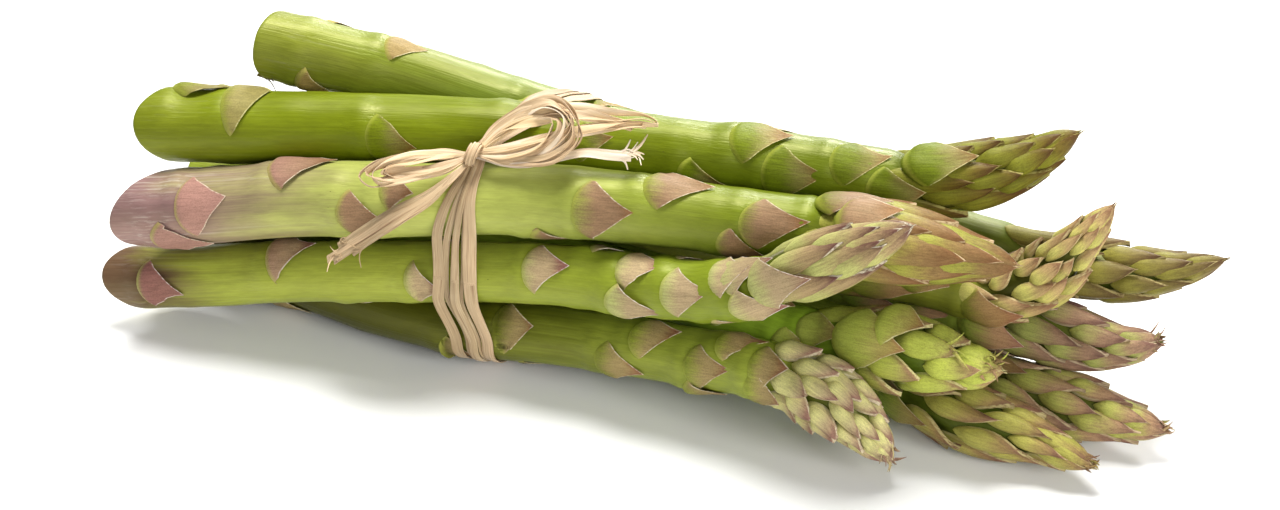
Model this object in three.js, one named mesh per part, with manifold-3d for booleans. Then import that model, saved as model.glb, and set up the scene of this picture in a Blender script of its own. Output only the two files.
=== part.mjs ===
// A bundle of ten asparagus spears, tied with raffia and lying on its side.
// Millimetres. The tips point to +X, +Y is the far side and the bundle lies on Z = 0.
import * as THREE from 'three';
import { mergeVertices } from 'three/addons/utils/BufferGeometryUtils.js';
import Module from 'manifold-3d';

const wasm = await Module();
wasm.setup();

// The spears are laid out from the tie; this is the middle of the bundle, seen from above, in that layout.
const bundleMiddle = [42.8, 15.7];

const clearance = 0.35;         // kept between a piece and its neighbours
const stalkSides = 10;          // a head has half as many bracts in each tier
const shaftStep = 24;           // between the rings of a shaft
const goldenTurn = 137.5;       // degrees from one scale leaf to the next up the stalk
const leafLift = 1.1;           // how far a scale leaf stands out from the shaft
const facetShare = 1.02;        // corners of a ten-sided ring, of the round radius
const sectionShare = 1.04;      // a spear that crosses the tie at a slant, of its radius
const tipFullness = 3.4;        // the greater, the blunter a head's tip
const cutFaceShare = 0.84;      // radius of the cut face inside its worn edge, of the spear's radius
const cutWear = 1.2;            // how far the worn edge lies behind the cut face
const leastFace = 0.012;        // a face lower than this is a sliver, and its neighbour takes it over
const shortEdge = 3 * leastFace;        // a sliver's edge below this is drawn together
const sameFacing = 0.9;         // least cosine between a turned face and the one it replaces
const sliverRounds = 4;
const sameCorner = 1e-5;
const lineStep = 1;             // between the samples of a centre line
const finePieces = 4;           // to a millimetre, where a line is first laid out
const sectionPitch = 0.25;      // along X, between the sections through all spears
const headPeak = 1.3;           // the swell of a head is over at its length divided by this
const headClosing = 0.8;        // the smaller, the blunter the last of a head
const cutMargin = 4;            // from the cut to the first ring of the shaft
const neckMargin = 3;           // from the last ring of the shaft to the neck

// Each spear: way points of its centre line from the cut end to the tip, its radius at the cut end and
// at the neck, and the length and swell of its head. cut: how far the slanting cut runs back, and
// the side (degrees, 0 is the near side, 90 is the top) that it leaves longest.
// near: scale leaves of the near side, each with its distance from the cut end, its angle,
// its length, the half angle that it clasps and the twist of its tip.
// tiers: how many tiers of bracts the head has, and how far each tier steps in below its tips.
// spiral: angle of the first leaf of the far side.
const spears = {
  spear_a: {
    path: [
      [-57.5, 22.5, 59.7], [-24, 28, 53.5], [0, 30, 48.5], [60, 32, 40.5],
      [120, 31, 33], [143, 31, 32.5], [158, 31, 36], [169, 32, 41],
    ],
    buttRadius: 8, neckRadius: 6.3, head: 52, swell: 0.26,
    cut: { slant: 7, longest: 30 },
    near: [[10, -28, 9, 35, -10], [28, 84, 11, 32, 12], [62, 30, 11, 38, 0]],
    spiral: 160,
    tiers: { count: 9, step: 1.0 },
  },
  spear_b: {
    path: [
      [-79, 3.5, 43.8], [-40, 8.8, 47.8], [0, 14.5, 51], [50, 20.5, 52], [74, 22.5, 52],
      [96, 24, 52], [108, 26, 53.5], [120, 29, 57.5], [134, 33, 67],
    ],
    buttRadius: 8.7, neckRadius: 6.8, head: 46, swell: 0.24,
    cut: { slant: 17, longest: 36 },
    near: [
      [7, 102, 20, 28, 10], [20, 84, 13, 70, 20], [54, 16, 13, 42, -14], [101, 28, 11, 36, 16],
      [126, -10, 12, 34, -14], [137, 74, 15, 50, 18], [145, 10, 16, 54, 14], [160, 54, 15, 46, 24],
    ],
    spiral: 200,
    tiers: { count: 9, step: 1.1 },
  },
  spear_c: {
    path: [
      [-81, -6.3, 26.8], [-62, -5.7, 31], [-38, -4.5, 37], [-12, -2.5, 41], [10, 0.5, 44],
      [34, 3, 45.5], [60, 5, 46], [100, 6, 47], [128, 5, 48],
    ],
    buttRadius: 9.1, neckRadius: 7.6, head: 48, swell: 0.3,
    cut: { slant: 20, longest: 0 },
    near: [
      [17, 28, 14, 45, 14], [9, -26, 15, 36, -16], [39, 80, 16, 46, 20], [56, 10, 13, 38, -18],
      [66, 50, 9, 32, -8], [110, 22, 15, 50, 6], [125, 78, 17, 40, 12], [148, 34, 17, 42, 16],
      [143, -10, 12, 36, -12],
    ],
    spiral: 190,
    tiers: { count: 6, step: 1.1 },
  },
  spear_d: {
    path: [
      [-84, -8, 7.7], [-62, -7.5, 12.4], [-38, -6, 17.7], [-6, -4, 23.5], [24, -4, 29],
      [48, -5.5, 32], [70, -8, 38], [82, -10, 46.5], [94, -11, 55], [108, -13, 66.5],
    ],
    buttRadius: 7.2, neckRadius: 6.6, head: 44, swell: 0.2,
    cut: { slant: 15, longest: 36 },
    near: [
      [9, 20, 12, 46, -22], [41, 72, 12, 62, 24], [75, 12, 10, 44, -24], [104, 46, 12, 52, 8],
      [117, 122, 9, 32, 0], [126, 68, 14, 44, 18], [124, -6, 15, 42, -18], [138, 24, 14, 54, 8],
      [150, 62, 15, 46, -2],
    ],
    spiral: 210,
    tiers: { count: 8, step: 0.9 },
  },
  spear_e: {
    path: [
      [-74, 11.4, 7], [-38, 4.4, 7.6], [-4, -2.2, 8.8], [24, -1.5, 10.4], [57, -4.7, 14], [72, -7.8, 16.7],
      [82, -9.5, 17.5], [92, -12, 15], [100, -14.5, 10.5], [107, -17, 5],
    ],
    buttRadius: 7.3, neckRadius: 6.6, head: 34, swell: 0.33,
    cut: { slant: 5, longest: 0 },
    near: [
      [72, -30, 9, 42, -10], [84, 36, 11, 54, 12], [110, 0, 13, 42, -16], [118, 58, 13, 42, 26],
      [133, 16, 13, 46, 8], [131, -50, 12, 40, 0], [140, 76, 12, 40, 26], [149, 38, 10, 46, 12],
      [148, -10, 11, 42, -6],
    ],
    spiral: 170,
    tiers: { count: 10, step: 1.5 },
  },
  spear_f: {
    path: [
      [-72, 15, 23.5], [0, 12, 23.5], [50, 9.3, 20], [80, 5.5, 18.4], [92, 3, 21],
      [104, 0.5, 22.7], [116, -2.2, 24.2], [128, -5.5, 27],
    ],
    buttRadius: 7.2, neckRadius: 6.2, head: 44, swell: 0.55,
    cut: { slant: 4, longest: 60 },
    near: [],
    spiral: 20,
    tiers: { count: 8, step: 1.2 },
  },
  spear_g: {
    path: [
      [-70, 29, 7.3], [-38, 24.5, 8], [0, 16.5, 9.1], [40, 17.3, 8.7], [78, 16.5, 8.3],
      [95, 11.3, 7.7], [110, 4.7, 7.4], [122, 0.5, 7.2], [134, -1.7, 7.3], [150, -5.7, 5.6],
    ],
    buttRadius: 7.2, neckRadius: 6.3, head: 52, swell: 0.31,
    cut: { slant: 5, longest: -40 },
    near: [],
    spiral: 75,
    tiers: { count: 9, step: 1.0 },
  },
  spear_h: {
    path: [
      [-70, 45, 6.8], [-38, 40.3, 7.8], [0, 32, 9.3], [60, 33, 8.2], [105, 24.4, 7],
      [129, 14.2, 7.2], [150, 12, 7], [163, 10.8, 6.6],
    ],
    buttRadius: 7, neckRadius: 6.2, head: 48, swell: 0.36,
    cut: { slant: 6, longest: 150 },
    near: [],
    spiral: 130,
    tiers: { count: 9, step: 1.1 },
  },
  spear_i: {
    path: [
      [-72, 31, 23.5], [0, 28.5, 24], [60, 27, 23], [105, 24, 21.3], [128, 22, 20],
      [148, 19, 21.5], [159, 19, 25],
    ],
    buttRadius: 7, neckRadius: 6.2, head: 48, swell: 0.36,
    cut: { slant: 6, longest: 200 },
    near: [],
    spiral: 10,
    tiers: { count: 8, step: 1.1 },
  },
  spear_j: {
    path: [
      [-70, 22.5, 37.5], [0, 19, 36], [60, 16, 32.5], [100, 15, 33], [122, 15, 33.5],
      [130, 15.5, 38], [138, 17, 48], [145, 20, 58.5],
    ],
    buttRadius: 7, neckRadius: 6.2, head: 42, swell: 0.32,
    cut: { slant: 5, longest: 90 },
    near: [],
    spiral: 100,
    tiers: { count: 10, step: 1.2 },
  },
};

// A scale leaf: [share of its length, share of its half angle, height over the skin], round its rim
// from the base and then its crown; and its keel, sunk in the stalk.
const leafShape = [
  [0, 0, -0.2], [0.22, -1, 0.25], [1, 0, 0.6], [0.22, 1, 0.25], [0.4, 0, leafLift],
];
const leafKeel = { along: 0.42, depth: 0.45 };
const tipMargin = 2;            // a keel stays this far below the tip of its spear

// The spiral of leaves on the far side of a shaft: where it starts and ends, the pitch at the cut
// end and at the neck, and each leaf's size. far: the angles that are out of sight.
const leafSpiral = {
  start: 12, endMargin: 6, lowPitch: 14, highPitch: 9,
  length: 11, lengthSpread: 4, clasp: 44, twistSpread: 24, far: [125, 315],
};

// A tier of bracts, in shares of the pitch between tiers: how far its tips and its valleys rise, and
// how far its foot stands from each; then in shares of its step: the depth of a valley and of its foot.
// The tips end short of the next tier's valleys, so that the skin never folds back on itself.
const bractTier = {
  tipRise: 1.1, valleyRise: 0.27, uneven: 0.24, tipFoot: 0.03, valleyFoot: 0.14, widest: 0.4,
  valleyDepth: 0.65, valleyFootDepth: 0.35, spread: 0.25, endTiers: 1.6, taper: 12,
};

// How a point is drawn back to make room: rounds, the share of the crossing and the most of its reach.
const roomMaking = { rounds: 6, share: 0.6, most: 0.9 };

const green = { a: 0x8fae45, b: 0x86a83a, c: 0xa9b066, d: 0x9fb154, e: 0x7d9a40 };
const spearColours = [
  green.a, green.b, green.c, green.d, green.e, green.b, green.e, green.e, green.a, green.c,
];
const raffiaColour = 0xd9b98a;
const spearRoughness = 0.42;
const raffiaRoughness = 0.75;
const firstSeed = 71;           // of the draws that make one spear differ from the next

// The tie: its middle, seen along X, and the X that it keeps at each angle round the bundle
// (degrees, 0 is the near side, 90 is the top), with the share of its full spread there.
const tieMiddle = [13, 28];
const tieRoute = [
  [-180, 18, 0.6], [-110, 13, 0.6], [-75, 10.5, 0.6], [-40, 6, 0.8], [-12, 2, 1], [20, 2, 0.9],
  [62, 4, 0.55], [100, 14, 0.7], [140, 18, 0.7], [180, 18, 0.6],
];
const tieStations = 54;
const tieLooks = 90;            // directions in which the taut band is felt for
const tieLeastShare = 0.2;
const bandWidth = 11;
// Section of the band, three flattened strips side by side: [share of the width, height].
const bandSection = [
  [0.5, 0], [0.5, 0.85], [0.18, 0.6], [0.14, 1.1], [-0.16, 0.6], [-0.2, 1], [-0.5, 0.7], [-0.5, 0],
];
const bandHeight = 1.1;
const bandClearance = 0.65;     // of the band's corners; between them it lies closer
const pressMargin = 4;          // past the band's edge, where a spear is still pressed in
const liftMargin = 2;           // past the band's edge, where the bow still lies over it

// The bow lies on the near upper side: its knot, and the middle lines of its loops and tails.
const knotMiddle = [4.2, -2, 56.2];
const knotSize = [3.6, 2.7, 2.5];
const knotFacets = [8, 6];
const bowFace = [0, -0.51, 0.86];       // the way that the flat side of its strips looks
const bowClearance = 1.7;               // least height of a strip above a spear, over its scales
const bowStep = 4.5;
const liftRounds = 4;
const tailHold = 4;                     // the greater, the later a tail starts to narrow
const tailTaper = 0.6;                  // width of a tail's end, of its width
const stripSection = [[-0.5, -0.5], [0.5, -0.5], [0.5, 0.5], [-0.5, 0.5]];
const bowStrips = {
  roundLoop: {
    closed: true, width: 3.6, thickness: 1,
    points: [
      [4.5, -1, 56], [8, 5, 60.5], [14, 8.5, 65.5], [20, 8.5, 68], [25.5, 5.5, 66.5],
      [27.5, 1.5, 63], [24.5, -1.5, 59], [15, -2.5, 56.5],
    ],
  },
  longLoop: {
    closed: true, width: 3.2, thickness: 1,
    points: [
      [5, -1, 56], [15, -1.5, 57], [23, 1.5, 59.5], [31, 6, 61.5], [39, 9.5, 63.5],
      [43, 10, 64.5], [34, 9.5, 65.5], [25, 8, 66], [16, 6.5, 63.5], [9, 3, 59.5],
    ],
  },
  rightTail: {
    closed: false, width: 3, thickness: 1,
    points: [[5, -2, 55.5], [14, -2.5, 56], [23, 0.5, 57.5], [29, 3, 58.5], [34, 4, 58.5], [43, 5, 58.5]],
  },
  leftLoop: {
    closed: true, width: 3.2, thickness: 1,
    points: [
      [3.5, -2, 55.5], [-3, -4, 56], [-11, -8, 56], [-17, -10.5, 54.5], [-18.5, -13, 52.5],
      [-16.5, -13.5, 50.5], [-10, -12, 51.5], [-2.5, -7.5, 53.5],
    ],
  },
  leftTail: {
    closed: false, width: 5.4, thickness: 1,
    points: [
      [4, -3, 54.5], [0.5, -9, 52.5], [-3, -12, 49.5], [-9, -14.5, 45.5], [-17, -16.5, 39],
      [-22, -17, 34.5], [-26, -17, 31],
    ],
  },
};

const radians = THREE.MathUtils.degToRad;
const clamp = THREE.MathUtils.clamp;
const lerp = THREE.MathUtils.lerp;
const skyward = new THREE.Vector3(0, 0, 1);

// Repeatable draws between 0 and 1.
function drawFrom(seed) {
  let state = seed;
  return () => {
    state = (state * 16807) % 2147483647;
    return state / 2147483647;
  };
}

// A smooth line through way points, as samples evenly spaced by about one millimetre.
function centreLine(path) {
  const points = path.map((p) => new THREE.Vector3(...p));
  const spans = points.slice(1).map((p, i) => p.distanceTo(points[i]));
  const slopes = spans.map((d, i) => points[i + 1].clone().sub(points[i]).divideScalar(d));
  const headings = points.map((p, i) => {
    if (i === 0) return slopes[0].clone();
    if (i === spans.length) return slopes[i - 1].clone();
    const before = slopes[i - 1].clone().multiplyScalar(spans[i]);
    const after = slopes[i].clone().multiplyScalar(spans[i - 1]);
    return before.add(after).divideScalar(spans[i - 1] + spans[i]);
  });
  const fine = [points[0].clone()];
  spans.forEach((d, i) => {
    const pieces = Math.ceil(d * finePieces);
    for (let k = 1; k <= pieces; k += 1) {
      const t = k / pieces;
      const p = new THREE.Vector3();
      p.addScaledVector(points[i], 2 * t ** 3 - 3 * t ** 2 + 1);
      p.addScaledVector(headings[i], (t ** 3 - 2 * t ** 2 + t) * d);
      p.addScaledVector(points[i + 1], -2 * t ** 3 + 3 * t ** 2);
      p.addScaledVector(headings[i + 1], (t ** 3 - t ** 2) * d);
      fine.push(p);
    }
  });
  return evenly(fine, lineStep);
}

function evenly(points, step) {
  const along = [0];
  for (let i = 1; i < points.length; i += 1) along.push(along[i - 1] + points[i].distanceTo(points[i - 1]));
  const length = along[along.length - 1];
  const count = Math.round(length / step);
  const samples = [];
  let k = 0;
  for (let i = 0; i <= count; i += 1) {
    const s = (length * i) / count;
    while (k < points.length - 2 && along[k + 1] < s) k += 1;
    const share = (s - along[k]) / (along[k + 1] - along[k]);
    samples.push(points[k].clone().lerp(points[k + 1], share));
  }
  return { samples, length, step: length / count };
}

// Outer radius of a spear at distance s from its cut end; the head swells, then closes to its tip.
function outerRadius(spear, s) {
  const neckAt = spear.line.length - spear.head;
  const u = clamp((s - neckAt) / spear.head, 0, 1);
  if (u === 0) return lerp(spear.buttRadius, spear.neckRadius, clamp(s / neckAt, 0, 1));
  const swell = 1 + spear.swell * Math.sin(Math.PI * Math.min(headPeak * u, 1));
  return spear.neckRadius * swell * (1 - u ** tipFullness) ** headClosing;
}

function frameAt(spear, s) {
  const { samples, step } = spear.line;
  const last = samples.length - 1;
  const at = clamp(s / step, 0, last);
  const i = Math.min(Math.floor(at), last - 1);
  const centre = samples[i].clone().lerp(samples[i + 1], at - i);
  const ahead = samples[Math.min(i + 2, last)].clone().sub(samples[Math.max(i - 1, 0)]).normalize();
  const side = ahead.clone().cross(skyward).normalize();
  const up = side.clone().cross(ahead);
  return { centre, ahead, side, up };
}

// A point of a spear: distance from the cut end, angle round it and distance from its centre line.
function spearPoint(spear, s, angle, reach) {
  const frame = frameAt(spear, s);
  const point = frame.centre.clone();
  point.addScaledVector(frame.side, Math.cos(radians(angle)) * reach);
  point.addScaledVector(frame.up, Math.sin(radians(angle)) * reach);
  return point;
}

function nearest(spear, point) {
  let best = 0;
  let least = Infinity;
  spear.line.samples.forEach((p, i) => {
    const d = p.distanceToSquared(point);
    if (d < least) {
      least = d;
      best = i;
    }
  });
  return { centre: spear.line.samples[best], away: Math.sqrt(least), radius: spear.radii[best] };
}

// Pulls a point of one spear back towards its own centre line until it leaves room for every other spear.
function giveRoom(point, name) {
  const own = spears[name];
  for (let round = 0; round < roomMaking.rounds; round += 1) {
    const mine = nearest(own, point);
    const outward = point.clone().sub(mine.centre).normalize();
    let back = 0;
    for (const other of Object.keys(spears)) {
      if (other === name) continue;
      const theirs = nearest(spears[other], point);
      const cross = (mine.away - mine.radius + clearance) - (theirs.away - theirs.radius);
      back = Math.max(back, cross * roomMaking.share);
    }
    if (back <= 0) break;
    point.addScaledVector(outward, -Math.min(back, mine.away * roomMaking.most));
  }
  return point;
}

// How far the taut band lies from the middle of the tie at an angle, round the spears as they pass x.
function bandReach(angle, x) {
  const lookAt = radians(angle);
  let reach = Infinity;
  for (let k = 0; k < tieLooks; k += 1) {
    const way = (2 * k * Math.PI) / tieLooks;
    const share = Math.cos(way - lookAt);
    if (share < tieLeastShare) continue;
    let support = -Infinity;
    for (const section of sectionsAt(x)) {
      const out = (tieMiddle[0] - section.y) * Math.cos(way) + (section.z - tieMiddle[1]) * Math.sin(way);
      support = Math.max(support, out + section.radius);
    }
    reach = Math.min(reach, support / share);
  }
  return reach;
}

const sectionCache = new Map();
function sectionsAt(x) {
  const key = Math.round(x / sectionPitch);
  if (!sectionCache.has(key)) {
    sectionCache.set(key, Object.values(spears).map((spear) => {
      const { samples } = spear.line;
      const i = samples.findIndex((p) => p.x >= key * sectionPitch);
      return { y: samples[i].y, z: samples[i].z, radius: spear.radii[i] * sectionShare };
    }));
  }
  return sectionCache.get(key);
}

// X of the tie and its share of full spread, at an angle round the bundle.
function tieAt(angle) {
  const turn = ((angle + 540) % 360) - 180;
  let k = 0;
  while (k < tieRoute.length - 2 && tieRoute[k + 1][0] < turn) k += 1;
  const [from, to] = [tieRoute[k], tieRoute[k + 1]];
  const t = (turn - from[0]) / (to[0] - from[0]);
  const ease = t * t * (3 - 2 * t);
  return { x: lerp(from[1], to[1], ease), spread: lerp(from[2], to[2], ease) };
}

function angleRoundTie(point) {
  return THREE.MathUtils.radToDeg(Math.atan2(point.z - tieMiddle[1], tieMiddle[0] - point.y));
}

// Under the band nothing stands out past it.
function pressUnderBand(point) {
  const angle = angleRoundTie(point);
  const tie = tieAt(angle);
  if (Math.abs(point.x - tie.x) > (bandWidth * tie.spread) / 2 + pressMargin) return point;
  const reach = Math.hypot(point.y - tieMiddle[0], point.z - tieMiddle[1]);
  const most = bandReach(angle, point.x);
  if (reach <= most) return point;
  point.y = tieMiddle[0] + ((point.y - tieMiddle[0]) * most) / reach;
  point.z = tieMiddle[1] + ((point.z - tieMiddle[1]) * most) / reach;
  return point;
}

function toSolid(points, faces) {
  const positions = new Float32Array(points.flatMap((p) => [p.x, p.y, p.z]));
  let geometry = new THREE.BufferGeometry();
  geometry.setAttribute('position', new THREE.BufferAttribute(positions, 3));
  geometry.setIndex(faces.flat());
  geometry = mergeVertices(geometry, sameCorner);
  return fromGeometry(geometry);
}

function fromGeometry(geometry) {
  const mesh = new wasm.Mesh({
    numProp: 3,
    vertProperties: geometry.getAttribute('position').array,
    triVerts: new Uint32Array(geometry.getIndex().array),
  });
  return new wasm.Manifold(mesh);
}

function toGeometry(solid) {
  const mesh = solid.getMesh();
  const corners = [];
  for (let i = 0; i < mesh.vertProperties.length; i += 3) {
    corners.push(new THREE.Vector3().fromArray(mesh.vertProperties, i));
  }
  const faces = [];
  for (let i = 0; i < mesh.triVerts.length; i += 3) faces.push([...mesh.triVerts.slice(i, i + 3)]);
  const geometry = new THREE.BufferGeometry();
  geometry.setAttribute('position', new THREE.BufferAttribute(mesh.vertProperties, 3));
  geometry.setIndex(withoutSlivers(corners, faces).flat());
  const flat = geometry.toNonIndexed();
  flat.computeVertexNormals();
  return flat;
}

// The joins leave slivers, which a solid modeller can't take. Their short edges are drawn together,
// and the long ones are turned across the neighbouring face.
function withoutSlivers(corners, faces) {
  const heightOf = ([a, b, c]) => {
    const sides = [[a, b], [b, c], [c, a]].map(([p, q]) => corners[p].distanceTo(corners[q]));
    const area = new THREE.Triangle(corners[a], corners[b], corners[c]).getArea();
    return (2 * area) / Math.max(...sides);
  };
  const normalOf = ([a, b, c]) => {
    return new THREE.Triangle(corners[a], corners[b], corners[c]).getNormal(new THREE.Vector3());
  };
  let kept = faces;
  for (let round = 0; round < sliverRounds; round += 1) {
    for (const face of kept) {
      if (new Set(face).size < 3 || heightOf(face) > leastFace) continue;
      const turned = [0, 1, 2].map((i) => [face[i], face[(i + 1) % 3], face[(i + 2) % 3]]);
      const lengthOf = ([p, q]) => corners[p].distanceTo(corners[q]);
      turned.sort((one, other) => lengthOf(one) - lengthOf(other));
      const [keep, drop] = turned[0];
      if (lengthOf(turned[0]) < shortEdge) {
        for (const other of kept) other.splice(0, 3, ...other.map((p) => (p === drop ? keep : p)));
        continue;
      }
      const [a, b, c] = turned[2];
      const across = kept.find((other) => other !== face && other.includes(a) && other.includes(b));
      const d = across.find((p) => p !== a && p !== b);
      const pair = [[a, d, c], [d, b, c]];
      const facing = normalOf(across);
      if (kept.some((other) => other.includes(c) && other.includes(d))) continue;
      if (pair.every((one) => heightOf(one) > leastFace && normalOf(one).dot(facing) > sameFacing)) {
        across.splice(0, 3, ...pair[0]);
        face.splice(0, 3, ...pair[1]);
      }
    }
    kept = kept.filter((face) => new Set(face).size === 3);
  }
  return kept;
}

// Closed skin through rings of equal count, with a point at each end.
function skinRings(rings, first, last) {
  const sides = rings[0].length;
  const points = [first, ...rings.flat(), last];
  const end = points.length - 1;
  const faces = [];
  for (let k = 0; k < sides; k += 1) {
    const next = (k + 1) % sides;
    faces.push([0, 1 + k, 1 + next]);
    for (let r = 0; r < rings.length - 1; r += 1) {
      const a = 1 + r * sides;
      const b = a + sides;
      faces.push([a + k, b + next, a + next]);
      faces.push([a + k, b + k, b + next]);
    }
    const e = 1 + (rings.length - 1) * sides;
    faces.push([e + next, e + k, end]);
  }
  return toSolid(points, faces);
}

function ringOf(spear, places, reaches) {
  return places.map((s, k) => spearPoint(spear, s, (360 * k) / places.length, reaches[k]));
}

// The slanting cut, with a worn edge.
function cutRings(spear) {
  return [[cutFaceShare, 0], [1, cutWear]].map(([share, setBack]) => {
    const places = [];
    const reaches = [];
    for (let k = 0; k < stalkSides; k += 1) {
      const lean = 1 - Math.cos(radians((360 * k) / stalkSides - spear.cut.longest)) * share;
      places.push((spear.cut.slant * lean) / 2 + setBack);
      reaches.push(spear.buttRadius * share * facetShare);
    }
    return ringOf(spear, places, reaches);
  });
}

// The head: tiers of bracts that hug it. Each tier is a zigzag rim of tips and valleys, which steps in
// to the foot of the next tier, and the tips of one tier stand over the valleys of the one before.
function headRings(spear, draw) {
  const { count, step } = spear.tiers;
  const neckAt = spear.line.length - spear.head;
  const pitch = spear.head / (count + bractTier.endTiers);
  const rings = [];
  for (let i = 0; i < count; i += 1) {
    const rim = { places: [], reaches: [] };
    const foot = { places: [], reaches: [] };
    for (let k = 0; k < stalkSides; k += 1) {
      const tall = (i + k) % 2 === 0;
      const rise = tall ? bractTier.tipRise + (draw() - 0.5) * bractTier.uneven : bractTier.valleyRise;
      const rimAt = neckAt + pitch * (i + rise);
      const footAt = rimAt + pitch * (tall ? bractTier.tipFoot : bractTier.valleyFoot);
      const depth = step * Math.min(1, (spear.line.length - rimAt) / bractTier.taper);
      const stand = tall ? bractTier.spread * draw() : -bractTier.valleyDepth * depth;
      const reach = outerRadius(spear, rimAt - pitch * bractTier.widest) + stand;
      rim.places.push(rimAt);
      rim.reaches.push(reach);
      foot.places.push(footAt);
      foot.reaches.push(reach - depth * (tall ? 1 : bractTier.valleyFootDepth));
    }
    rings.push(ringOf(spear, rim.places, rim.reaches));
    rings.push(ringOf(spear, foot.places, foot.reaches));
  }
  return rings;
}

// Cut end, shaft and head in one skin.
function stalk(name, draw) {
  const spear = spears[name];
  const shaftStart = spear.cut.slant + cutMargin;
  const shaftEnd = spear.line.length - spear.head - neckMargin;
  const shaftRings = Math.round((shaftEnd - shaftStart) / shaftStep);
  const rings = cutRings(spear);
  for (let i = 0; i <= shaftRings; i += 1) {
    const s = lerp(shaftStart, shaftEnd, i / shaftRings);
    const around = new Array(stalkSides).fill(s);
    rings.push(ringOf(spear, around, around.map(() => outerRadius(spear, s) * facetShare)));
  }
  rings.push(...headRings(spear, draw));
  rings.forEach((ring) => ring.forEach((p) => giveRoom(pressUnderBand(p), name)));
  const face = spearPoint(spear, spear.cut.slant / 2, 0, 0);
  const tip = spearPoint(spear, spear.line.length, 0, 0);
  return skinRings(rings, face, tip);
}

// One scale leaf: a thin pointed shield that clasps the stalk, its rim lifted clear of the skin
// and its keel sunk in the stalk. Points are [share of length, share of half angle, height].
function scaleLeaf(name, leaf) {
  const spear = spears[name];
  const points = leafShape.map(([t, w, height]) => {
    const s = leaf.at + t * leaf.length;
    const reach = outerRadius(spear, s) + height;
    const angle = leaf.angle + w * leaf.clasp + leaf.twist * t * t;
    return giveRoom(pressUnderBand(spearPoint(spear, s, angle, reach)), name);
  });
  const keelAt = Math.min(leaf.at + leafKeel.along * leaf.length, spear.line.length - tipMargin);
  points.push(spearPoint(spear, keelAt, leaf.angle, outerRadius(spear, keelAt) * leafKeel.depth));
  const [base, cornerA, tip, cornerB, crown, keel] = points.keys();
  const rim = [base, cornerA, tip, cornerB];
  const faces = rim.flatMap((p, i) => {
    const next = rim[(i + 1) % rim.length];
    return [[next, p, keel], [p, next, crown]];
  });
  return toSolid(points, faces);
}

// The scale leaves of a shaft: the listed ones, and the spiral of the far side.
function leavesOf(name, draw) {
  const spear = spears[name];
  const neckAt = spear.line.length - spear.head;
  const leaves = spear.near.map(([at, angle, length, clasp, twist]) => ({ at, angle, length, clasp, twist }));
  let angle = spear.spiral;
  const { start, endMargin, lowPitch, highPitch, clasp, far } = leafSpiral;
  for (let at = start; at < neckAt - endMargin; at += lerp(lowPitch, highPitch, at / neckAt)) {
    const turn = angle % 360;
    const twist = (draw() - 0.5) * leafSpiral.twistSpread;
    const length = leafSpiral.length + draw() * leafSpiral.lengthSpread;
    const outOfSight = turn > far[0] && turn < far[1];
    if (spear.near.length === 0 || outOfSight) leaves.push({ at, angle: turn, length, clasp, twist });
    angle += goldenTurn;
  }
  return leaves;
}

// Everything below the ground, which flattens the spears a little where they lie on it.
const ground = [400, 200, 10];
const belowGround = fromGeometry(boxGeometry(ground, [...bundleMiddle, -ground[2] / 2]));

function boxGeometry(size, middle) {
  const box = new THREE.BoxGeometry(...size);
  box.translate(...middle);
  box.deleteAttribute('normal');
  box.deleteAttribute('uv');
  return mergeVertices(box);
}

function spearSolid(name, seed) {
  const draw = drawFrom(seed);
  let solid = stalk(name, draw);
  for (const leaf of leavesOf(name, draw)) solid = solid.add(scaleLeaf(name, leaf));
  return solid.subtract(belowGround);
}

// The band: a taut flat ring round the bundle, narrowest where it is drawn together.
function raffiaBand() {
  const rings = [];
  for (let k = 0; k < tieStations; k += 1) {
    const angle = (360 * k) / tieStations;
    const tie = tieAt(angle);
    rings.push(bandSection.map(([across, rise]) => {
      const x = tie.x + across * bandWidth * tie.spread;
      const reach = bandReach(angle, x) + bandClearance + rise;
      return new THREE.Vector3(
        x,
        tieMiddle[0] - Math.cos(radians(angle)) * reach,
        tieMiddle[1] + Math.sin(radians(angle)) * reach,
      );
    }));
  }
  return closedSweep(rings);
}

function closedSweep(rings) {
  const sides = rings[0].length;
  const faces = [];
  rings.forEach((ring, r) => {
    const a = r * sides;
    const b = ((r + 1) % rings.length) * sides;
    for (let k = 0; k < sides; k += 1) {
      const next = (k + 1) % sides;
      faces.push([a + k, b + next, a + next]);
      faces.push([a + k, b + k, b + next]);
    }
  });
  return toSolid(rings.flat(), faces);
}

// Keeps a point of the bow clear of the spears and of the band.
function liftClear(point) {
  for (let round = 0; round < liftRounds; round += 1) {
    for (const spear of Object.values(spears)) {
      const theirs = nearest(spear, point);
      const short = theirs.radius + bowClearance - theirs.away;
      if (short > 0) point.addScaledVector(point.clone().sub(theirs.centre).normalize(), short);
    }
  }
  const angle = angleRoundTie(point);
  const tie = tieAt(angle);
  if (Math.abs(point.x - tie.x) > (bandWidth * tie.spread) / 2 + liftMargin) return point;
  const reach = Math.hypot(point.y - tieMiddle[0], point.z - tieMiddle[1]);
  const least = bandReach(angle, point.x) + bandClearance + bandHeight + clearance;
  if (reach >= least) return point;
  point.y = tieMiddle[0] + ((point.y - tieMiddle[0]) * least) / reach;
  point.z = tieMiddle[1] + ((point.z - tieMiddle[1]) * least) / reach;
  return point;
}

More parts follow.
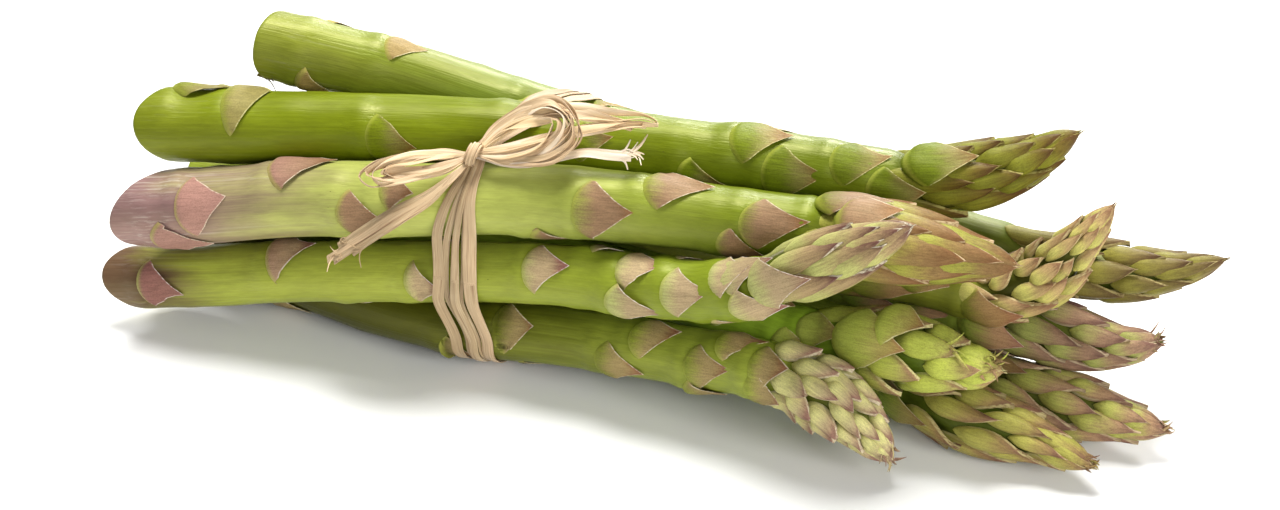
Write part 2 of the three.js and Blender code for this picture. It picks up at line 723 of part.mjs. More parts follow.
function bowStrip({ closed, width, thickness, points }) {
  const curve = new THREE.CatmullRomCurve3(points.map((p) => new THREE.Vector3(...p)), closed);
  const stations = Math.round(curve.getLength() / bowStep);
  const face = new THREE.Vector3(...bowFace);
  const rings = [];
  for (let i = 0; i < stations + (closed ? 0 : 1); i += 1) {
    const t = i / stations;
    const ahead = curve.getTangentAt(t);
    const across = ahead.clone().cross(face).normalize();
    const rise = across.clone().cross(ahead).normalize();
    const taper = closed ? 1 : lerp(1, tailTaper, t ** tailHold);
    rings.push(stripSection.map(([a, h]) => {
      const point = curve.getPointAt(t);
      point.addScaledVector(across, a * width * taper);
      point.addScaledVector(rise, h * thickness);
      return liftClear(point);
    }));
  }
  if (closed) return closedSweep(rings);
  const middleOf = (ring) => {
    return ring.reduce((sum, p) => sum.add(p), new THREE.Vector3()).divideScalar(ring.length);
  };
  return skinRings(rings, middleOf(rings[0]), middleOf(rings[rings.length - 1]));
}

function knot() {
  const ball = new THREE.SphereGeometry(1, ...knotFacets);
  ball.deleteAttribute('normal');
  ball.deleteAttribute('uv');
  ball.scale(...knotSize);
  ball.translate(...knotMiddle);
  const merged = mergeVertices(ball);
  const position = merged.getAttribute('position');
  for (let i = 0; i < position.count; i += 1) {
    position.setXYZ(i, ...liftClear(new THREE.Vector3().fromBufferAttribute(position, i)).toArray());
  }
  return fromGeometry(merged);
}

function raffiaBow() {
  return Object.values(bowStrips).map(bowStrip).reduce((whole, strip) => whole.add(strip), knot());
}

function namedMesh(name, solid, colour, roughness) {
  const material = new THREE.MeshStandardMaterial({ color: colour, roughness, metalness: 0 });
  const mesh = new THREE.Mesh(toGeometry(solid), material);
  mesh.name = name;
  return mesh;
}

for (const spear of Object.values(spears)) {
  spear.line = centreLine(spear.path);
  spear.radii = spear.line.samples.map((p, i) => outerRadius(spear, i * spear.line.step));
}

const bundle = new THREE.Group();
Object.keys(spears).forEach((name, i) => {
  bundle.add(namedMesh(name, spearSolid(name, firstSeed + i), spearColours[i], spearRoughness));
});
bundle.add(namedMesh('raffia_band', raffiaBand(), raffiaColour, raffiaRoughness));
bundle.add(namedMesh('raffia_bow', raffiaBow(), raffiaColour, raffiaRoughness));
bundle.position.set(-bundleMiddle[0], -bundleMiddle[1], 0);

export default bundle;
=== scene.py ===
import math
import bpy
import numpy as np
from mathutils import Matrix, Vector


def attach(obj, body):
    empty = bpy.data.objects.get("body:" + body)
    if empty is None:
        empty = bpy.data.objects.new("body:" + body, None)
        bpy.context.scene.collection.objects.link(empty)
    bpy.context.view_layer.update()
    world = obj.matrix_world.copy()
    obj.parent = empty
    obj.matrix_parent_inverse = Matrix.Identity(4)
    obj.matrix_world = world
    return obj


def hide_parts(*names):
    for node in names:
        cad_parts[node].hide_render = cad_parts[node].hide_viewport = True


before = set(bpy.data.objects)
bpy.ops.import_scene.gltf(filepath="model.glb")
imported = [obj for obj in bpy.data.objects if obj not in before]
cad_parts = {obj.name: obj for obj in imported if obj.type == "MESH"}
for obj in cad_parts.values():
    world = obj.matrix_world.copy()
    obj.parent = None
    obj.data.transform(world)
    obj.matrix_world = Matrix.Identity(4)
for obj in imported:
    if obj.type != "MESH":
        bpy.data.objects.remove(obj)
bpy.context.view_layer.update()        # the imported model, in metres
print("frame loaded:", len(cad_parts), "nodes")

# The layout below is in millimetres, measured from the tie. An angle round a spear is in degrees:
# 0 is its near side and 90 its top.
mm = 0.001
bundleMiddle = (42.8, 15.7)   # where the frame's origin lies in the layout
floorGive = 0.6               # height above the floor below which a piece is pressed flat
goldenTurn = 137.5            # degrees from one scale leaf to the next up a stalk


# Small helpers

def hexColour(code):
    parts = [int(code[i:i + 2], 16) / 255 for i in (1, 3, 5)]
    return [c / 12.92 if c <= 0.04045 else ((c + 0.055) / 1.055) ** 2.4 for c in parts] + [1.0]


def smooth(value, low=0.0, high=1.0):
    t = np.clip((value - low) / (high - low), 0, 1)
    return t * t * (3 - 2 * t)


def mix(first, second, share):
    return first + (second - first) * share


def either(draw, most):
    # a random number up to this much, either way
    return draw.uniform(-most, most)


def waver(draw, places, pitch, waves=4):
    # a smooth random line between about -1 and 1, over places measured in the unit of pitch
    total = np.zeros(np.shape(places))
    for k in range(waves):
        total = total + np.sin(np.asarray(places) * 2 * np.pi / pitch * draw.uniform(0.5, 1.8)
                               + draw.uniform(0, 2 * np.pi)) / waves ** 0.5
    return total * 0.8


def lengthAlong(points):
    return np.concatenate([[0], np.cumsum(np.linalg.norm(np.diff(points, axis=0), axis=1))])


def unit(vectors):
    return vectors / np.maximum(np.linalg.norm(vectors, axis=-1, keepdims=True), 1e-9)


def smoothLine(wayPoints, step, closed=False):
    # a smooth line through way points, evenly sampled
    points = np.array(wayPoints, float)
    if closed:
        points = np.vstack([points[-2:], points, points[:3]])
    spans = np.linalg.norm(np.diff(points, axis=0), axis=1)
    slopes = np.diff(points, axis=0) / spans[:, None]
    headings = np.empty_like(points)
    headings[0], headings[-1] = slopes[0], slopes[-1]
    weights = spans[:-1] + spans[1:]
    headings[1:-1] = (slopes[:-1] * spans[1:, None] + slopes[1:] * spans[:-1, None]) / weights[:, None]
    fine = []
    first, last = (2, len(points) - 3) if closed else (0, len(points) - 1)
    for i in range(first, last):
        t = np.linspace(0, 1, max(4, int(spans[i] * 4)), endpoint=False)[:, None]
        fine.append((2 * t**3 - 3 * t**2 + 1) * points[i] + (t**3 - 2 * t**2 + t) * spans[i] * headings[i]
                    + (3 * t**2 - 2 * t**3) * points[i + 1] + (t**3 - t**2) * spans[i] * headings[i + 1])
    fine = np.vstack(fine + [points[last:last + 1]])
    along = lengthAlong(fine)
    count = max(3, int(round(along[-1] / step)))
    places = np.linspace(0, along[-1], count + 1)
    even = np.stack([np.interp(places, along, fine[:, k]) for k in range(3)], axis=1)
    return even[:-1] if closed else even


def skinTones(butt, middle, neck, buttReach, dry):
    # a stalk's colours, how far up the cut end's colour reaches, and how much its skin is dried in streaks
    return {"Butt": hexColour(butt), "Middle": hexColour(middle), "Neck": hexColour(neck),
            "Butt Reach": buttReach, "Dry Streaks": dry}


def leafTones(foot, middle, tip, rim, green):
    # a leaf's colours, and the share of its length that the foot's colour takes
    return {"Foot": hexColour(foot), "Middle": hexColour(middle), "Tip": hexColour(tip),
            "Rim": hexColour(rim), "Green Share": green}


# The ten spears. Each has the way points of its centre line from the cut end to the tip, its radius at
# the cut end and at the neck, and the length and swell of its head, with its bluntness where it isn't the
# plain one. Then:
# cut: how far the slanting cut runs back, and the angle that it leaves longest;
# spiral: the angle of the first scale of the far side;
# fullness: of the scales' outlines, least and most;
# scales: distance from the cut end, angle, length, half of the angle that it clasps, and its tip's twist;
# bits: shreds, by distance from the cut end, angle, number and length;
# bracts: their number, their length and width at the neck and at the tip, how far they bulge, how narrow
# they run out, and how far their tips stand off;
# skin, scale, headScale: the colours of stalk, scales and bracts;
# nearButt: the scales' colour near the cut end, where it isn't their middle's;
# ownFoot: the scales' feet keep their own colour, where the others take the skin's;
# podLook: what differs from the plain look of the bracts.
spears = {
    "spear_a": {
        "path": [(-57.5, 22.5, 59.7), (-24, 28, 53.5), (0, 30, 48.5), (60, 32, 40.5), (120, 31, 33),
                 (143, 31, 32.5), (158, 31, 36), (169, 32, 41)],
        "buttRadius": 8, "neckRadius": 6.3, "head": 52, "swell": 0.26,
        "cut": (7, 30), "spiral": 160, "fullness": (0.3, 0.7),
        "scales": [(10, -28, 9, 35, -10), (28, 84, 11, 32, 12), (62, 30, 11, 38, 0)],
        "bits": [(3, -55, 5, 4)],
        "bracts": {"count": 27, "length": (19, 13), "width": (8.4, 5.4), "relief": 2.2,
                   "narrow": 1.15, "tipStands": 0.3},
        "skin": skinTones("#727924", "#65741f", "#657121", 0.2, 0.1),
        "scale": leafTones("#9da151", "#957d4f", "#80663e", "#ddd2aa", 0.3),
        "headScale": leafTones("#7c7533", "#695a32", "#533b29", "#b7a870", 0.42),
    },
    "spear_b": {
        "path": [(-79, 3.5, 43.8), (-40, 8.8, 47.8), (0, 14.5, 51), (50, 20.5, 52), (74, 22.5, 52),
                 (96, 24, 52), (108, 26, 53.5), (120, 29, 57.5), (134, 33, 67)],
        "buttRadius": 8.7, "neckRadius": 6.8, "head": 46, "swell": 0.24,
        "cut": (17, 36), "spiral": 200, "fullness": (0.35, 0.7),
        "scales": [(7, 112, 17, 26, 0), (20, 84, 11.5, 66, 20), (54, 16, 13, 42, -14),
                   (101, 28, 11, 36, 16), (126, -10, 12, 34, -14), (137, 74, 15, 50, 18),
                   (145, 10, 16, 54, 14), (160, 54, 15, 46, 24), (169, 8, 14, 45, 6),
                   (177, 66, 19, 40, -4)],
        "bracts": {"count": 30, "length": (18, 12), "width": (8.4, 5.6), "relief": 2.4,
                   "narrow": 1.1, "tipStands": 0.35},
        "skin": skinTones("#6c7517", "#6a760b", "#5f6c12", 0.15, 0.05),
        "scale": leafTones("#889139", "#7e7442", "#785531", "#d5cf94", 0.5),
        "headScale": leafTones("#747423", "#64551f", "#4f341b", "#b0a860", 0.5),
    },
    "spear_c": {
        "path": [(-81, -6.3, 26.8), (-62, -5.7, 31), (-38, -4.5, 37), (-12, -2.5, 41), (10, 0.5, 44),
                 (34, 3, 45.5), (60, 5, 46), (100, 6, 47), (128, 5, 48)],
        "buttRadius": 9.1, "neckRadius": 7.6, "head": 48, "swell": 0.3,
        "cut": (20, 0), "spiral": 190, "fullness": (0.4, 0.65),
        "scales": [(17, 28, 14, 45, 14), (9, -26, 15, 36, -16), (39, 92, 16, 46, 16), (56, 10, 13, 38, -18),
                   (66, 50, 9, 32, -8), (110, 22, 15, 50, 6), (125, 78, 17, 40, 12), (148, 34, 17, 42, 16),
                   (143, -10, 12, 36, -12), (170, 62, 15, 35, 26), (164, 96, 18, 30, 6)],
        "bracts": {"count": 22, "length": (26, 20), "width": (11, 7.6), "relief": 2.4,
                   "narrow": 1.0, "tipStands": 0.5},
        "skin": skinTones("#886966", "#a2a854", "#667311", 0.24, 0.5),
        "scale": leafTones("#8f8b48", "#876950", "#815839", "#e6dcc0", 0.12),
        "headScale": leafTones("#908f3c", "#7f633f", "#6f4b30", "#e0cba0", 0.46),
        "nearButt": hexColour("#a1786c"),
        "podLook": {"Rim Width": 0.26, "Rim Strength": 0.6, "Margin Tint": 0.08},
    },
    "spear_d": {
        "path": [(-84, -8, 7.7), (-62, -7.5, 12.4), (-38, -6, 17.7), (-6, -4, 23.5), (24, -4, 29),
                 (48, -5.5, 32), (70, -8, 38), (82, -10, 46.5), (94, -11, 55), (108, -13, 66.5)],
        "buttRadius": 7.2, "neckRadius": 6.6, "head": 44, "swell": 0.2,
        "cut": (15, 36), "spiral": 210, "fullness": (0.08, 0.5),
        "scales": [(9, 20, 12, 46, -22), (41, 72, 12, 62, 24), (75, 12, 10, 44, -24), (104, 46, 12, 52, 8),
                   (117, 122, 9, 32, 0), (126, 68, 14, 44, 18), (124, -6, 15, 42, -18),
                   (138, 24, 14, 54, 8), (150, 62, 15, 46, -2), (153, 62, 19, 45, -4),
                   (163, 20, 17, 50, -14), (155, -10, 16, 40, -20)],
        "bracts": {"count": 20, "length": (24, 17), "width": (9.6, 6.6), "relief": 2.1,
                   "narrow": 1.25, "tipStands": 0.3},
        "skin": skinTones("#634b38", "#919939", "#798721", 0.14, 0.1),
        "scale": leafTones("#a9ad67", "#a6906e", "#865951", "#f0e8dc", 0.2),
        "headScale": leafTones("#a6a762", "#937c59", "#603e3a", "#e6dfc4", 0.42),
        "nearButt": hexColour("#8c5f58"), "ownFoot": True,
        "podLook": {"Rim Width": 0.26, "Rim Strength": 0.7, "Margin Tint": 0.08},
    },
    "spear_e": {
        "path": [(-74, 11.4, 7), (-38, 4.4, 7.6), (-4, -2.2, 8.8), (24, -1.5, 10.4), (57, -4.7, 14),
                 (72, -7.8, 16.7), (82, -9.5, 17.5), (92, -12, 15), (100, -14.5, 10.5), (107, -17, 5)],
        "buttRadius": 7.3, "neckRadius": 6.6, "head": 34, "swell": 0.33, "bluntness": 4.4,
        "cut": (5, 0), "spiral": 170, "fullness": (0.3, 0.7),
        "scales": [(72, -30, 9, 42, -10), (84, 36, 11, 54, 12), (110, 0, 13, 42, -16),
                   (118, 58, 13, 42, 26), (133, 16, 13, 46, 8), (131, -50, 12, 40, 0),
                   (140, 76, 12, 40, 26), (149, 38, 10, 46, 12), (148, -10, 11, 42, -6)],
        "bits": [(186, 60, 9, 2.4)],
        "bracts": {"count": 44, "length": (10, 8), "width": (7.6, 4.4), "relief": 2.9,
                   "narrow": 0.9, "tipStands": 0.5},
        # painted shade: the butt and middle colours are darkened as in spear d's shadow
        "skin": skinTones("#3d3d09", "#484a0b", "#8b9635", 0.3, 0.05),
        "scale": leafTones("#949953", "#948055", "#855a42", "#e4dcc0", 0.3),
        "headScale": leafTones("#c7c27f", "#af9d76", "#836055", "#dcd2b0", 0.5),
    },
    "spear_f": {
        "path": [(-72, 15, 23.5), (0, 12, 23.5), (50, 9.3, 20), (80, 5.5, 18.4), (92, 3, 21),
                 (104, 0.5, 22.7), (116, -2.2, 24.2), (128, -5.5, 27)],
        "buttRadius": 7.2, "neckRadius": 6.2, "head": 44, "swell": 0.55, "bluntness": 7.5,
        "cut": (4, 60), "spiral": 20, "fullness": (0.4, 0.8),
        "scales": [(128, 40, 12, 38, 0), (138, 96, 12, 38, 0), (146, 5, 12, 40, 10), (152, 52, 14, 40, -12),
                   (163, 42, 19, 48, -4), (172, 78, 12, 40, 4)],
        "bits": [(200, 60, 16, 3.4), (191, 70, 5, 6)],
        "bracts": {"count": 20, "length": (17, 11), "width": (11.5, 8), "relief": 2.7,
                   "narrow": 1.0, "tipStands": 0.2},
        "skin": skinTones("#828f2c", "#819728", "#85a22b", 0.2, 0.05),
        "scale": leafTones("#a6b04c", "#a39a54", "#96704a", "#dcd8a8", 0.45),
        "headScale": leafTones("#a7af4a", "#a39e55", "#896c4e", "#d4d090", 0.62),
        "ownFoot": True,
    },
    "spear_g": {
        "path": [(-70, 29, 7.3), (-38, 24.5, 8), (0, 16.5, 9.1), (40, 17.3, 8.7), (78, 16.5, 8.3),
                 (95, 11.3, 7.7), (110, 4.7, 7.4), (122, 0.5, 7.2), (134, -1.7, 7.3), (150, -5.7, 5.6)],
        "buttRadius": 7.2, "neckRadius": 6.3, "head": 52, "swell": 0.31, "bluntness": 4.2,
        "cut": (5, -40), "spiral": 75, "fullness": (0.35, 0.7),
        "scales": [(150, 10, 13, 40, 0), (160, 40, 14, 40, 0), (166, 85, 14, 40, 0), (172, -2, 16, 40, 4)],
        "bits": [(223, 60, 11, 2.8)],
        "bracts": {"count": 26, "length": (20, 14), "width": (9, 5.6), "relief": 2.5,
                   "narrow": 1.5, "tipStands": 0.4},
        "skin": skinTones("#74802b", "#768828", "#748628", 0.2, 0.05),
        "scale": leafTones("#8f9a48", "#8e8048", "#7e5c3c", "#cfc698", 0.4),
        "headScale": leafTones("#9f9a4b", "#8f784b", "#6e4d3e", "#c8bc84", 0.5),
    },
    "spear_h": {
        "path": [(-70, 45, 6.8), (-38, 40.3, 7.8), (0, 32, 9.3), (60, 33, 8.2), (105, 24.4, 7),
                 (129, 14.2, 7.2), (150, 12, 7), (163, 10.8, 6.6)],
        "buttRadius": 7, "neckRadius": 6.2, "head": 48, "swell": 0.36, "bluntness": 4.6,
        "cut": (6, 150), "spiral": 130, "fullness": (0.35, 0.7),
        "scales": [(165, 80, 13, 40, 0), (178, 30, 15, 40, 0), (188, 70, 17, 40, 0)],
        "bits": [(235.5, 60, 10, 2.6)],
        "bracts": {"count": 24, "length": (20, 13), "width": (9.6, 6), "relief": 2.8,
                   "narrow": 1.7, "tipStands": 0.7},
        "skin": skinTones("#77832e", "#77832e", "#798330", 0.2, 0.05),
        "scale": leafTones("#8f9048", "#8c7448", "#74503a", "#c4b890", 0.3),
        "headScale": leafTones("#a5a653", "#997a5c", "#745348", "#c8b890", 0.42),
    },
    "spear_i": {
        "path": [(-72, 31, 23.5), (0, 28.5, 24), (60, 27, 23), (105, 24, 21.3), (128, 22, 20),
                 (148, 19, 21.5), (159, 19, 25)],
        "buttRadius": 7, "neckRadius": 6.2, "head": 48, "swell": 0.36, "bluntness": 5.0,
        "cut": (6, 200), "spiral": 10, "fullness": (0.35, 0.7),
        "scales": [(156, -2, 15, 36, 0), (163, 50, 14, 40, 0), (171, 14, 14, 34, 4), (176, 60, 16, 40, 0),
                   (184, 10, 18, 44, -6)],
        "bits": [(230, 60, 10, 2.6)],
        "bracts": {"count": 20, "length": (20, 13), "width": (10.5, 6.6), "relief": 2.8,
                   "narrow": 1.3, "tipStands": 0.55},
        "skin": skinTones("#7f8934", "#7f9132", "#808f34", 0.2, 0.05),
        "scale": leafTones("#a8a05a", "#a7825f", "#946458", "#dccab0", 0.34),
        "headScale": leafTones("#959952", "#8d6f59", "#6b4b44", "#cdbb98", 0.42),
    },
    "spear_j": {
        "path": [(-70, 22.5, 37.5), (0, 19, 36), (60, 16, 32.5), (100, 15, 33), (122, 15, 33.5),
                 (130, 15.5, 38), (138, 17, 48), (145, 20, 58.5)],
        "buttRadius": 7, "neckRadius": 6.2, "head": 42, "swell": 0.32,
        "cut": (5, 90), "spiral": 100, "fullness": (0.35, 0.7),
        "scales": [(148, 40, 20, 50, 0), (157, 14, 21, 50, 4), (168, 44, 17, 42, 0), (176, 80, 14, 40, 0),
                   (184, -5, 14, 44, -16)],
        "bracts": {"count": 44, "length": (11.5, 8.5), "width": (6.2, 4.2), "relief": 2.4,
                   "narrow": 1.05, "tipStands": 0.3},
        # painted shade: the skin colours are darkened as in the shadow under spear c's head
        "skin": skinTones("#6d6e2b", "#6d7127", "#6f7325", 0.2, 0.05),
        "scale": leafTones("#979048", "#94744c", "#865941", "#d8caa4", 0.36),
        "headScale": leafTones("#b1ab5b", "#a4895d", "#7e5b43", "#cdbe8c", 0.42),
    },
}

# The tie: its middle seen along X, and its route: at each angle round the bundle, the X that it keeps
# and the share of its full width there.
tie = {
    "middle": (13, 28),
    "route": [(-180, 18, 0.6), (-110, 13, 0.6), (-75, 10.5, 0.6), (-40, 6, 0.8), (-12, 2, 1), (20, 2, 0.9),
              (62, 4, 0.55), (100, 14, 0.7), (140, 18, 0.7), (180, 18, 0.6)],
    "bandWidth": 11,
    "margin": 4,          # beside the band, the scales are pressed in as far as this
    "fade": (5, 1),       # how far beside the band loose strips begin to rise over it, and have risen
    "lift": 0.55,         # of loose strips over the band
    "looks": 90,          # directions in which the taut band is felt for
    "leastShare": 0.2,    # directions further off than this cosine don't count
    "sectionShare": 1.03,     # of a spear's section to its radius, where the band crosses it aslant
}
tieRoute = np.array(tie["route"], float)


def tieAt(angle):
    turn = (np.asarray(angle) + 540) % 360 - 180
    k = np.clip(np.searchsorted(tieRoute[:, 0], turn, side="right") - 1, 0, len(tieRoute) - 2)
    ease = smooth((turn - tieRoute[k, 0]) / (tieRoute[k + 1, 0] - tieRoute[k, 0]))
    return mix(tieRoute[k, 1], tieRoute[k + 1, 1], ease), mix(tieRoute[k, 2], tieRoute[k + 1, 2], ease)


def angleRoundTie(points):
    return np.degrees(np.arctan2(points[:, 2] - tie["middle"][1], tie["middle"][0] - points[:, 1]))


def bandReach(angle, x):
    # how far the taut band lies from the middle of the tie, round the spears as they pass x
    looks = np.arange(tie["looks"]) * 2 * np.pi / tie["looks"]
    support = np.full((len(x), len(looks)), -np.inf)
    for spear in spears.values():
        line = spear["line"]
        y = np.interp(x, line[:, 0], line[:, 1])
        z = np.interp(x, line[:, 0], line[:, 2])
        radius = np.interp(x, line[:, 0], spear["radii"]) * tie["sectionShare"]
        out = ((tie["middle"][0] - y)[:, None] * np.cos(looks)
               + (z - tie["middle"][1])[:, None] * np.sin(looks) + radius[:, None])
        support = np.maximum(support, out)
    share = np.cos(looks[None, :] - np.radians(angle)[:, None])
    return np.where(share > tie["leastShare"], support / np.maximum(share, 1e-6), np.inf).min(axis=1)


# How a spear is laid out: points by distance from its cut end, angle round it and reach from its middle

headForm = {"swellPitch": 1.3, "closing": 0.8, "bluntness": 3.4}   # a greater bluntness, a blunter tip


def outerRadius(spear, s):
    u = np.clip((s - spear["neckAt"]) / spear["head"], 0, 1)
    shaft = mix(spear["buttRadius"], spear["neckRadius"], np.clip(s / spear["neckAt"], 0, 1))
    swell = 1 + spear["swell"] * np.sin(np.pi * np.minimum(headForm["swellPitch"] * u, 1))
    closing = (1 - u ** spear.get("bluntness", headForm["bluntness"])) ** headForm["closing"]
    return np.where(u > 0, spear["neckRadius"] * swell * closing, shaft)


def onSpear(spear, s, angle, reach):
    at = s / spear["step"]
    index = np.arange(len(spear["line"]))
    centre, ahead = (np.stack([np.interp(at, index, rows[:, k]) for k in range(3)], axis=-1)
                     for rows in (spear["line"], spear["ahead"]))
    ahead = unit(ahead)
    centre = centre + ahead * (np.maximum(s - spear["length"], 0) + np.minimum(s, 0))[..., None]
    side = unit(np.cross(ahead, (0, 0, 1)))
    up = np.cross(side, ahead)
    turn = np.radians(angle)[..., None]
    return centre + (side * np.cos(turn) + up * np.sin(turn)) * np.asarray(reach)[..., None]


for spear in spears.values():
    line = smoothLine(spear["path"], 1)
    ahead = np.gradient(line, axis=0)
    ahead[1:-1] = (ahead[:-2] + ahead[1:-1] + ahead[2:]) / 3
    spear["line"], spear["ahead"] = line, unit(ahead)
    spear["length"] = lengthAlong(line)[-1]
    spear["neckAt"] = spear["length"] - spear["head"]
    spear["step"] = spear["length"] / (len(line) - 1)
    spear["radii"] = outerRadius(spear, np.arange(len(line)) * spear["step"])
print("laid out:", len(spears), "spears")


def nearestOn(spear, points, every=1):
    # the nearest place of a spear's centre line, how far off it is, and the spear's radius there
    line, radii = spear["line"][::every], spear["radii"][::every]
    apart = ((points**2).sum(1)[:, None] + (line**2).sum(1)[None] - 2 * points @ line.T)
    best = apart.argmin(1)
    return line[best], np.sqrt(np.maximum(apart[np.arange(len(points)), best], 0)), radii[best]


contact = {
    "room": 0.12,     # left between two spears that lie against each other
    "feltFrom": 7,    # a neighbour's skin further off than this isn't looked at
    "give": 0.6,      # share of what is still too much that each round takes away
    "deepest": 0.9,   # share of its reach that a point gives up at most
}


def makeRoom(points, name, rounds=5):
    # draws a spear's skin in where a neighbour lies against it, as the solids are
    near = {}
    for other, spear in spears.items():
        if other == name:
            continue
        _, away, radius = nearestOn(spear, points, 6)
        close = np.where(away < radius + contact["feltFrom"])[0]
        if len(close):
            near[other] = close
    touched = np.unique(np.concatenate(list(near.values()))) if near else []
    if not len(touched):
        return points
    for _ in range(rounds):
        centre, away, radius = nearestOn(spears[name], points[touched])
        gap = np.full(len(points), np.inf)
        for other, close in near.items():
            _, far, theirs = nearestOn(spears[other], points[close])
            gap[close] = np.minimum(gap[close], far - theirs)
        back = np.maximum((away - radius + contact["room"]) - gap[touched], 0) * contact["give"]
        outward = unit(points[touched] - centre)
        points[touched] = points[touched] - outward * np.minimum(back, away * contact["deepest"])[:, None]
    return points


def pressUnderBand(points):
    # under the tie nothing stands out past it
    angle = angleRoundTie(points)
    x, spread = tieAt(angle)
    under = np.where(np.abs(points[:, 0] - x) < tie["bandWidth"] * spread / 2 + tie["margin"])[0]
    if len(under):
        out = points[under, 1:] - tie["middle"]
        reach = np.linalg.norm(out, axis=1)
        most = bandReach(angle[under], points[under, 0])
        points[under, 1:] = tie["middle"] + out * np.minimum(1, most / reach)[:, None]
    return points


# Meshes: a part is points, faces, a material slot, a grain (where the materials' noises are taken, on the
# stalk or strip laid straight) and marks (numbers kept on its points)

markNames = ["along", "leafAlong", "rimGap", "footGap", "chance", "across"]


def gridFaces(rows, columns, start=0, closed=False, flip=False):
    i = np.arange(rows - 1)[:, None]
    k = np.arange(columns if closed else columns - 1)[None]
    following = (k + 1) % columns
    a, b = start + i * columns + k, start + (i + 1) * columns + k
    c, d = start + (i + 1) * columns + following, start + i * columns + following
    quads = np.stack(np.broadcast_arrays(a, b, c, d), axis=-1).reshape(-1, 4)
    return quads[:, ::-1] if flip else quads


def tubeFaces(rings, around):
    # the wall of a tube, and its two ends
    ends = [np.arange(around)[::-1], (rings - 1) * around + np.arange(around)]
    return list(gridFaces(rings, around, closed=True)) + ends


def makePart(points, faces, slot, grain, **marks):
    return {"points": points, "faces": faces, "slot": slot, "grain": grain, "marks": marks}


def grainRound(reach, angle, s):
    turn = np.radians(angle)
    return np.stack([reach * np.cos(turn), reach * np.sin(turn), s], axis=1)


def buildMesh(name, parts, materials, sharpAngle=50):
    faces, slots, start = [], [], 0
    for part in parts:
        for face in part["faces"]:
            faces.append([int(p) + start for p in face])
        slots += [part["slot"]] * len(part["faces"])
        start += len(part["points"])
    raised = np.vstack([part["points"] for part in parts])
    low = raised[:, 2] < floorGive      # what would go through the floor is pressed flat on it
    raised[low, 2] = floorGive * np.exp(raised[low, 2] / floorGive - 1)
    placed = (raised - (*bundleMiddle, 0)) * mm
    mesh = bpy.data.meshes.new(name)
    mesh.from_pydata(placed.tolist(), [], faces)
    mesh.polygons.foreach_set("material_index", slots)
    mesh.polygons.foreach_set("use_smooth", [True] * len(faces))
    for mark in markNames:
        values = np.concatenate([np.broadcast_to(part["marks"].get(mark, 0.0), len(part["points"]))
                                 for part in parts])
        mesh.attributes.new(mark, "FLOAT", "POINT").data.foreach_set("value", values.astype(np.float32))
    grain = np.vstack([part["grain"] for part in parts]).astype(np.float32)
    mesh.attributes.new("grain", "FLOAT_VECTOR", "POINT").data.foreach_set("vector", grain.ravel())
    for material in materials:
        mesh.materials.append(material)
    mesh.validate()
    mesh.set_sharp_from_angle(angle=math.radians(sharpAngle))
    piece = bpy.data.objects.new(name, mesh)
    bpy.context.scene.collection.objects.link(piece)
    return piece


# Growing a spear

stalkMesh = {
    "sides": 44,
    "step": 1.2,           # from one ring of points to the next
    "faceRings": [0.06, 0.22, 0.42, 0.62, 0.8, 0.93],          # rings of the cut face, by share of its radius
    "edgeRings": [(0.975, 0.15), (0.995, 0.5), (1.0, 1.1)],    # of its edge, by share and set-back
    "pithWave": 0.2,       # of the cut face, which also stands out in its middle
    "pithRise": 0.35,
    "settle": 8,           # past the cut, how soon the rings stand square
    "outOfRound": 0.02,
    "swelling": 0.65,      # of the joint below each scale, and how far it reaches
    "swellingReach": 2.6,
}
scaleMesh = {
    "across": 19, "along": 12, "thickness": 0.3, "rimThickness": 0.12,
    "corner": 0.27,            # share of the length at which its corners lie
    "sunk": 0.12,              # of the foot, into the skin
    "bulge": (1.15, 1.75), "lift": (0.1, 0.45),    # of its middle, and of its rim
    "lopsided": 0.5,           # most by which one side of the rim may lift more, and the other less
    "tears": [0.15, 0.35, 0.8],    # depths of a torn rim, of which each scale has one
    "dimple": 0.12,
}
podMesh = {
    "across": 11, "along": 15, "thickness": 0.4, "rimThickness": 0.12,
    "widest": 0.34,            # share of the length at which it is widest
    "keel": 0.16,
    "lengths": (0.84, 1.18), "widths": (0.86, 1.18),     # the pods differ by these shares
    "shift": 1.1, "turn": 7, "twist": 13, "lean": 0.22,   # and by up to these amounts
    "atApex": 7,               # more of them, which close over the apex
}
shredMesh = {"stations": 8, "columns": 4, "thickness": 0.1, "width": (0.35, 0.9), "lengths": (0.5, 1.1),
             "shift": 1.5, "scatter": 12, "scatterAtTip": 80}
# the far side's scales: angles that they lie between, length, half angle clasped, twist, and distance from
# one to the next near the cut end and at the neck
farScales = {"between": (125, 315), "length": (11, 15), "clasp": 44, "twist": 12, "apart": (14, 9)}


def coreRadius(spear, s):
    # of the stalk, which goes on inside the head and carries the bracts
    outer = outerRadius(spear, s)
    crease = reliefAt(spear, s) * smooth(s, spear["neckAt"] - 1, spear["neckAt"] + 6)
    return np.maximum(outer - crease, 0.3 * outer)


def reliefAt(spear, s):
    # how deep the creases between the bracts of a head go
    outer = outerRadius(spear, s)
    return spear["bracts"]["relief"] * np.clip(outer / spear["neckRadius"], 0.25, 1.1)


